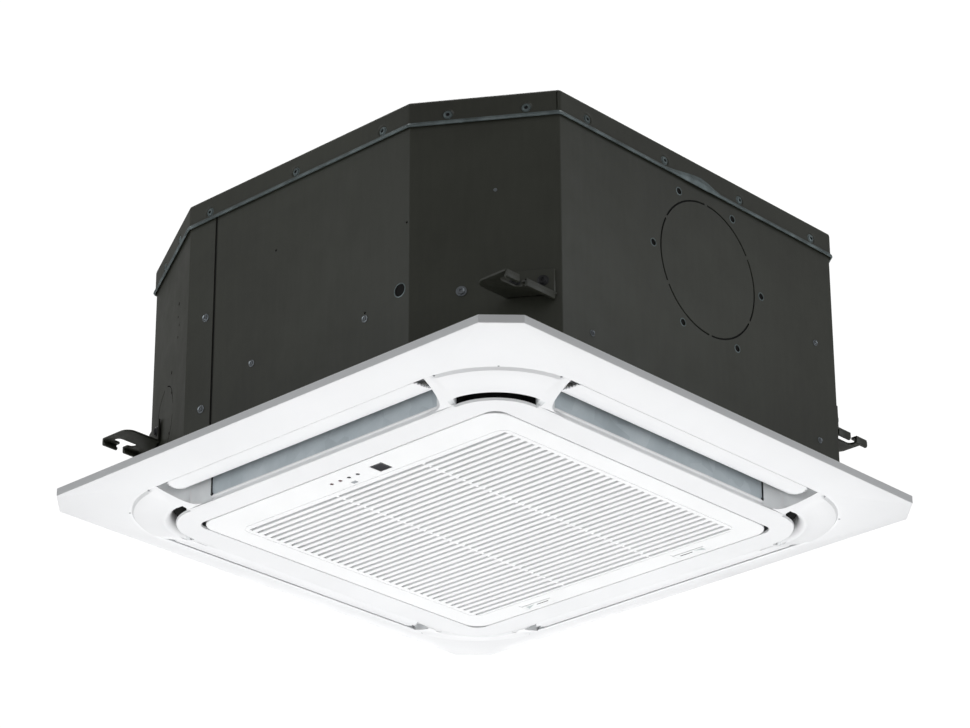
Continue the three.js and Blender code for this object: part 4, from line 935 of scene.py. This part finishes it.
join("panel_ribs", ribs, ROOT, 30)

# ------------------------------------------------------------------ louvres
def blade_mesh(name):
    chord, sag, a, o = 36.0, 5.0, math.radians(14), (-283.6, -16.2)
    nu, ns = 20, 60
    verts, faces = [], []
    def half(u):   # half length at u across the blade, 0 at the outer edge
        k = ((0, 171.5), (0.05, 173.2), (0.15, 174.6), (0.3, 175.2), (0.5, 175.4), (0.72, 175.0), (0.84, 173.6), (0.93, 170.8), (1.0, 166.5))
        for (a0, b0), (a1, b1) in zip(k, k[1:]):
            if u <= a1:
                t = (u - a0) / (a1 - a0)
                return b0 + (b1 - b0) * t
        return k[-1][1]
    rows = []
    for i in range(nu + 1):
        u = i / nu
        w = -sag * 4 * u * (1 - u)
        X, Yv = chord * u, w
        th = 2.1 * (0.35 + 2.4 * u * (1 - u))
        rows.append((u, o[0] + X * math.cos(a) - Yv * math.sin(a), o[1] + X * math.sin(a) + Yv * math.cos(a), th))
    xs = [-1 + 2 * j / ns for j in range(ns + 1)]
    for surf_ in (0, 1):
        for u, y, z, th in rows:
            h = half(u)
            for s in xs:
                x = s * h
                verts.append((x, y - (math.sin(a) * th if surf_ else 0) * 0, z + (th if surf_ else 0)))
    W = ns + 1
    off = (nu + 1) * W
    for i in range(nu):
        for j in range(ns):
            p = i * W + j
            faces.append((p, p + 1, p + W + 1, p + W))
            q = off + p
            faces.append((q, q + W, q + W + 1, q + 1))
    for i in range(nu):
        for j in (0, ns):
            p = i * W + j
            faces.append((p, p + W, off + p + W, off + p))
    for j in range(ns):
        for i in (0, nu):
            p = i * W + j
            faces.append((p, p + 1, off + p + 1, off + p))
    parts = [make(name, verts, faces, BLADE, None, 35)]
    # teeth along the rounded ends
    def at_u(u):
        w = -sag * 4 * u * (1 - u)
        X = chord * u
        return (o[0] + X * math.cos(a) - w * math.sin(a), o[1] + X * math.sin(a) + w * math.cos(a), 2.1 * (0.35 + 2.4 * u * (1 - u)))
    for sx in (-1, 1):
        pos = []
        u = 0.06
        while u < 1.0:
            pos.append(u)
            h0, h1 = half(u), half(min(1, u + 0.02))
            y0, z0, _ = at_u(u); y1, z1, _ = at_u(min(1, u + 0.02))
            step = math.hypot(h1 - h0, y1 - y0) / 0.02
            u += 3.5 / step
        for u in pos:
            y, z, th = at_u(min(u, 0.99))
            h = half(min(u, 0.99))
            parts.append(spin("t", [(0, -0.2), (0.95, -0.1), (1.15, th * 0.5), (0.95, th), (0, th + 0.1)], 12, (sx * (h + 0.55), y, z), (0, 0, 1), BLADE, None, 40))
    for sx in (-1, 1):   # arm and pivot
        p = [(-283.2, -15.6), (-270, -16.6), (-276, -13), (-279.4, -10.6), (-281, -9.3), (-283, -9.3), (-284.6, -10.6), (-285, -12.4)]
        x0, x1 = sorted((sx * 161.5, sx * 164.8))
        k = len(p)
        v = [(x, y, z) for x in (x0, x1) for y, z in p]
        f = [tuple(range(k)), tuple(reversed(range(k, 2 * k)))] + [(i, (i + 1) % k, k + (i + 1) % k, k + i) for i in range(k)]
        parts.append(make("arm", v, f, BLADE, None, 30))
        parts.append(spin("pin", [(0, 0), (1.9, 0), (1.9, 32), (1.2, 33), (0, 33)], 16, (sx * 164, -282, -12), (sx, 0, 0), BLADE, None, 30))
    return parts
for k, side in enumerate(("front", "right", "back", "left")):
    o = join("blade_" + side, blade_mesh("b"), None, 35)
    turn(o, k)
    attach(o, "vane_" + side)
    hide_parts("louvre_" + side)

# ------------------------------------------------------------------ intake grille
ZI = -30.6
SLX0, SLX1 = -179.0, 179.0
def grille():
    gr = 21.0
    outer = rsq(208.8, gr, 12)
    v, f = [], []
    # face plate: a rim, and a solid plate with slots cut by boolean
    p = loft("grille_face", [(rsq(208.2, gr - 0.6, 12), ZI), (rsq(208.7, gr - 0.1, 12), ZI + 0.5), (rsq(208.7, gr - 0.1, 12), ZI + 9.5), (rsq(206.6, gr - 2.2, 12), ZI + 9.5), (rsq(206.6, gr - 2.2, 12), ZI + 1.9)], GRILLE, None, closed=False, angle=30)
    plate_ = loft("pl", [(rsq(207.0, gr - 1.8, 12), ZI + 1.9), (rsq(208.2, gr - 0.6, 12), ZI)], GRILLE, None, closed=False, cap0=True, cap1=True)
    cuts = []
    for i in range(36):
        y = -161.8 + 9.64 * i
        sec = [(-2.3, -1.0), (2.3, -1.0), (2.15, 0.0), (1.6, 1.1), (1.6, 5.0), (-1.6, 5.0), (-1.6, 1.1), (-2.15, 0.0)]
        vv = [(x, y + a, ZI + b) for x in (SLX0, SLX1) for a, b in sec]
        cuts.append(make("c", vv, [tuple(range(8)), tuple(reversed(range(8, 16)))] + [(q, (q + 1) % 8, 8 + (q + 1) % 8, 8 + q) for q in range(8)], DARKIN, None))
    for x in (-107, 108):
        cuts.append(boxo("c", x - 20.65, x + 20.65, 188.3, 203.75, ZI - 2, ZI + 5))
    cuts.append(boxo("c", 24.8, 41.6, -194.8, -178.0, ZI - 2, ZI + 5))
    for x in (-32.7, -20.5, -8.2, 4):
        cuts.append(cyl((x, -189.4, ZI - 2), (0, 0, 1), 2.25, 0, 7, 16))
    cuts.append(boxo("c", -15.6, -9.0, -180.0, -174.8, ZI - 2, ZI + 5))
    def border(h, r):
        return [(x * (184.6 + h) / 184.6, y + 2.2 + (h if y > 0 else -h)) for x, y in rsq(1, 0, 1)] if False else ring([(184.6 + h, -171.6 - h), (184.6 + h, 181.2 + h), (-184.6 - h, 181.2 + h), (-184.6 - h, -171.6 - h)], 0, r + h, 10)
    cuts.append(loft("c", [(border(0.45, 12), ZI - 1), (border(0.45, 12), ZI + 0.45), (border(-0.45, 12), ZI + 0.45), (border(-0.45, 12), ZI - 1)], DARKIN, None))
    cut(plate_, [join("cc", cuts, None)], 30)
    parts = [p, plate_]
    # slats: fins behind the face between the slots, with a rounded lower edge
    sec = [(-3.06, 1.2), (-2.9, 1.1), (2.9, 1.1), (3.06, 1.2), (3.06, 5.2), (2.2, 6.2), (1.0, 6.6), (-1.0, 6.6), (-2.2, 6.2), (-3.06, 5.2)]
    vv, ff = [], []
    for i in range(35):
        y = -161.8 + 9.64 * (i + 0.5)
        b0 = len(vv)
        k = len(sec)
        for x in (-172.5, 178.9):
            for sy, sz in sec:
                vv.append((x, y + sy, ZI + 0.3 + sz))
        ff += [tuple(b0 + q for q in range(k)), tuple(b0 + q for q in reversed(range(k, 2 * k)))]
        ff += [(b0 + q, b0 + (q + 1) % k, b0 + k + (q + 1) % k, b0 + k + q) for q in range(k)]
    parts.append(make("fins", vv, ff, FINW, None, 30))
    for x in (-107, 108):   # floors of the latch recesses
        parts.append(boxo("fl", x - 21.4, x + 21.4, 187.8, 193.8, ZI + 0.62, ZI + 1.4, GRILLE, None))
    # cross ribs, a little behind the face
    for x in (-52.2, 67.4):
        parts.append(boxo("rib", x - 1.6, x + 1.6, -164, 178, ZI + 0.9, ZI + 6.5, GRILLE, None))
    for x in (-120, 10, 130):
        parts.append(boxo("rib", x - 1.0, x + 1.0, -164, 178, ZI + 5.5, ZI + 8.0, GRILLE, None))
    return join("grille_front", parts, "grille", 30)
g = grille()
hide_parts("intake_grille")

# latches: sliding tongues with a finger recess
for i, x in enumerate((-107, 108)):
    side = ("left", "right")[i]
    a = boxo("latch_" + side + "_slide", x - 20.4, x + 20.4, 194.0, 203.55, ZI, ZI + 0.55, GRILLE, None)
    up_ = boxo("u", x - 20.4, x + 20.4, 199.4, 203.5, ZI + 0.5, ZI + 3.3, WHITE, None)
    sg = 1 if i == 0 else -1
    tri = [(x - sg * 17.0, 195.6), (x - sg * 4.2, 196.2), (x - sg * 17.6, 202.6)]
    if sg < 0:
        tri.reverse()
    wedge = prism("c", tri, ZI - 1, ZI + 3.0, DARKIN, None)
    slot_ = boxo("c", *sorted((x - sg * 2.6, x + sg * 14.0)), 197.2, 199.0, ZI - 1, ZI + 3)
    cut(a, [wedge, slot_], 30)
    bevel(a, 0.12, 1, 50, 40)
    # a black strip in the slide's slot: painted shade seen through the slot
    dk = boxo("dk", *sorted((x - sg * 2.9, x + sg * 14.3)), 197.0, 199.2, ZI + 0.2, ZI + 0.55, BLACKP, None)
    mk = prism("mk", tri, ZI + 0.22, ZI + 0.54, MARK, None)
    tongue = boxo("t", x - 14.6, x + 14.6, 200.0, 213.8, ZI + 3.3, ZI + 6.0, WHITE, None)
    l = join("latch_" + side, [a, up_, dk, mk, tongue], "latch_" + side, 30)
    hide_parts("grille_latch_" + side)

# receiver window, lamps, button
w = ring([(25.1, -194.5), (41.3, -194.5), (41.3, -178.3), (25.1, -178.3)], 0, 2.2, 5)
wd = loft("receiver", [([(33.2 + (x - 33.2) * s, -186.4 + (y + 186.4) * s) for x, y in w], z) for s, z in ((0.55, ZI - 0.28), (0.8, ZI - 0.2), (0.94, ZI - 0.05), (1.0, ZI + 0.3), (1.0, ZI + 2.6))], WINDOW, "grille", closed=False, cap0=True, cap1=True, angle=50)
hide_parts("receiver_window")
ld = []
for i, x in enumerate((-32.7, -20.5, -8.2, 4)):
    ld.append(spin("led", [(0, 0.35), (1.0, 0.3), (1.7, 0.05), (1.95, -0.4), (1.95, -4)], 18, (x, -189.4, ZI), (0, 0, -1), LED_RED if i < 2 else LED_DARK, None, 60))
join("lamps", ld, "grille", 60)
bt = ring([(-15.2, -179.6), (-9.4, -179.6), (-9.4, -175.2), (-15.2, -175.2)], 0, 1.2, 4)
bo = loft("button_cap", [([(-12.3 + (x + 12.3) * s, -177.4 + (y + 177.4) * s) for x, y in bt], z) for s, z in ((0.8, ZI - 0.08), (0.95, ZI), (1.0, ZI + 0.3), (1.0, ZI + 2.2))], GREY, "button", closed=False, cap0=True, cap1=True, angle=50)
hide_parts("test_button")

# ------------------------------------------------------------------ materials for the parts kept from model.glb, the plates and pipes at the corner among them
for n_, mt_ in (("pipe_cover_plate", PAINT), ("gas_pipe", COPPER), ("liquid_pipe", COPPER), ("gas_flare_nut", BRASS), ("liquid_flare_nut", BRASS), ("drain_outlet", DRAIN), ("insulation_liner", FOAM), ("drain_pan", FOAM), ("coil", ALU), ("coil_end_plate", STEEL), ("drain_pump", DRAIN), ("float_stem", DRAIN), ("float", BLACKP), ("turbo_fan", GREY), ("motor_shaft", STEEL), ("fan_nut", STEEL), ("fan_motor", PAINT), ("motor_mount", RUBBER), ("bell_mouth", BLACKP), ("control_box", STEEL), ("control_box_cover", STEEL), ("control_board", PCB), ("terminal_block", BLACKP), ("filter_frame", GREY), ("filter_net", NET), ("display_board", PCB), ("panel_seal", RUBBER), ("drain_plug", RUBBER), ("grille_hinge_pin_left", STEEL), ("grille_hinge_pin_right", STEEL), ("louvre_motor_front", STEEL), ("louvre_motor_right", STEEL), ("louvre_motor_back", STEEL), ("louvre_motor_left", STEEL), ("panel_screw_front_right", STEEL), ("panel_screw_back_right", STEEL), ("panel_screw_back_left", STEEL), ("panel_screw_front_left", STEEL)):
    o = N[n_]
    o.data.materials.clear()
    o.data.materials.append(mt_)

# ------------------------------------------------------------------ stage and light
def plane(name, cx, cy, z, s, material):
    me = bpy.data.meshes.new(name)
    me.from_pydata([(cx - s, cy - s, z), (cx + s, cy - s, z), (cx + s, cy + s, z), (cx - s, cy + s, z)], [], [(0, 1, 2, 3)])
    o = bpy.data.objects.new(name, me)
    bpy.context.scene.collection.objects.link(o)
    me.materials.append(material)
    return o
FLOOR = plastic("pale_floor", (0.80, 0.80, 0.80), 0.7, 0.004)
plane("floor", 0, 0, -1.75, 14, FLOOR)

def area(name, loc, target, size, power, size_y=None, color=(1, 1, 1)):
    l = bpy.data.lights.new(name, "AREA")
    l.energy, l.size, l.color = power, size, color
    if size_y:
        l.shape, l.size_y = "RECTANGLE", size_y
    o = bpy.data.objects.new(name, l)
    bpy.context.scene.collection.objects.link(o)
    o.location = loc
    o.rotation_mode = "QUATERNION"
    o.rotation_quaternion = (Vector(target) - Vector(loc)).to_track_quat("-Z", "Y")
    return o
area("left_box", (-1.2, -3.2, 0.5), (0, -0.2, 0.1), 1.8, 15.6, 2.4, (0.93, 0.97, 1.0))
area("right_box", (2.9, 1.35, 0.55), (0.2, 0, 0.1), 1.8, 13.2, 2.4, (0.93, 0.97, 1.0))
area("below_box", (-0.14, 0.14, -1.6), (0, 0, 0), 2.8, 42.3, 2.8)
area("top_box", (-0.8, 0.8, 2.8), (0, 0, 0.2), 2.5, 62, 2.5)
area("back_box", (-2.6, 2.4, 0.9), (0, 0, 0.1), 1.8, 22, 1.8)
w_ = bpy.data.worlds.new("studio")
bpy.context.scene.world = w_
w_.use_nodes = True
wn = w_.node_tree
bg = wn.nodes["Background"]
bg.inputs["Color"].default_value = (1, 1, 1, 1)
bg.inputs["Strength"].default_value = 0.22
bg2 = wn.nodes.new("ShaderNodeBackground")
bg2.inputs["Color"].default_value = (1, 1, 1, 1)
bg2.inputs["Strength"].default_value = 1.05
lp = wn.nodes.new("ShaderNodeLightPath")
mx = wn.nodes.new("ShaderNodeMixShader")
wn.links.new(lp.outputs["Is Camera Ray"], mx.inputs[0])
wn.links.new(bg.outputs[0], mx.inputs[1])
wn.links.new(bg2.outputs[0], mx.inputs[2])
wn.links.new(mx.outputs[0], wn.nodes["World Output"].inputs["Surface"])
bpy.context.scene.view_settings.view_transform = "Standard"
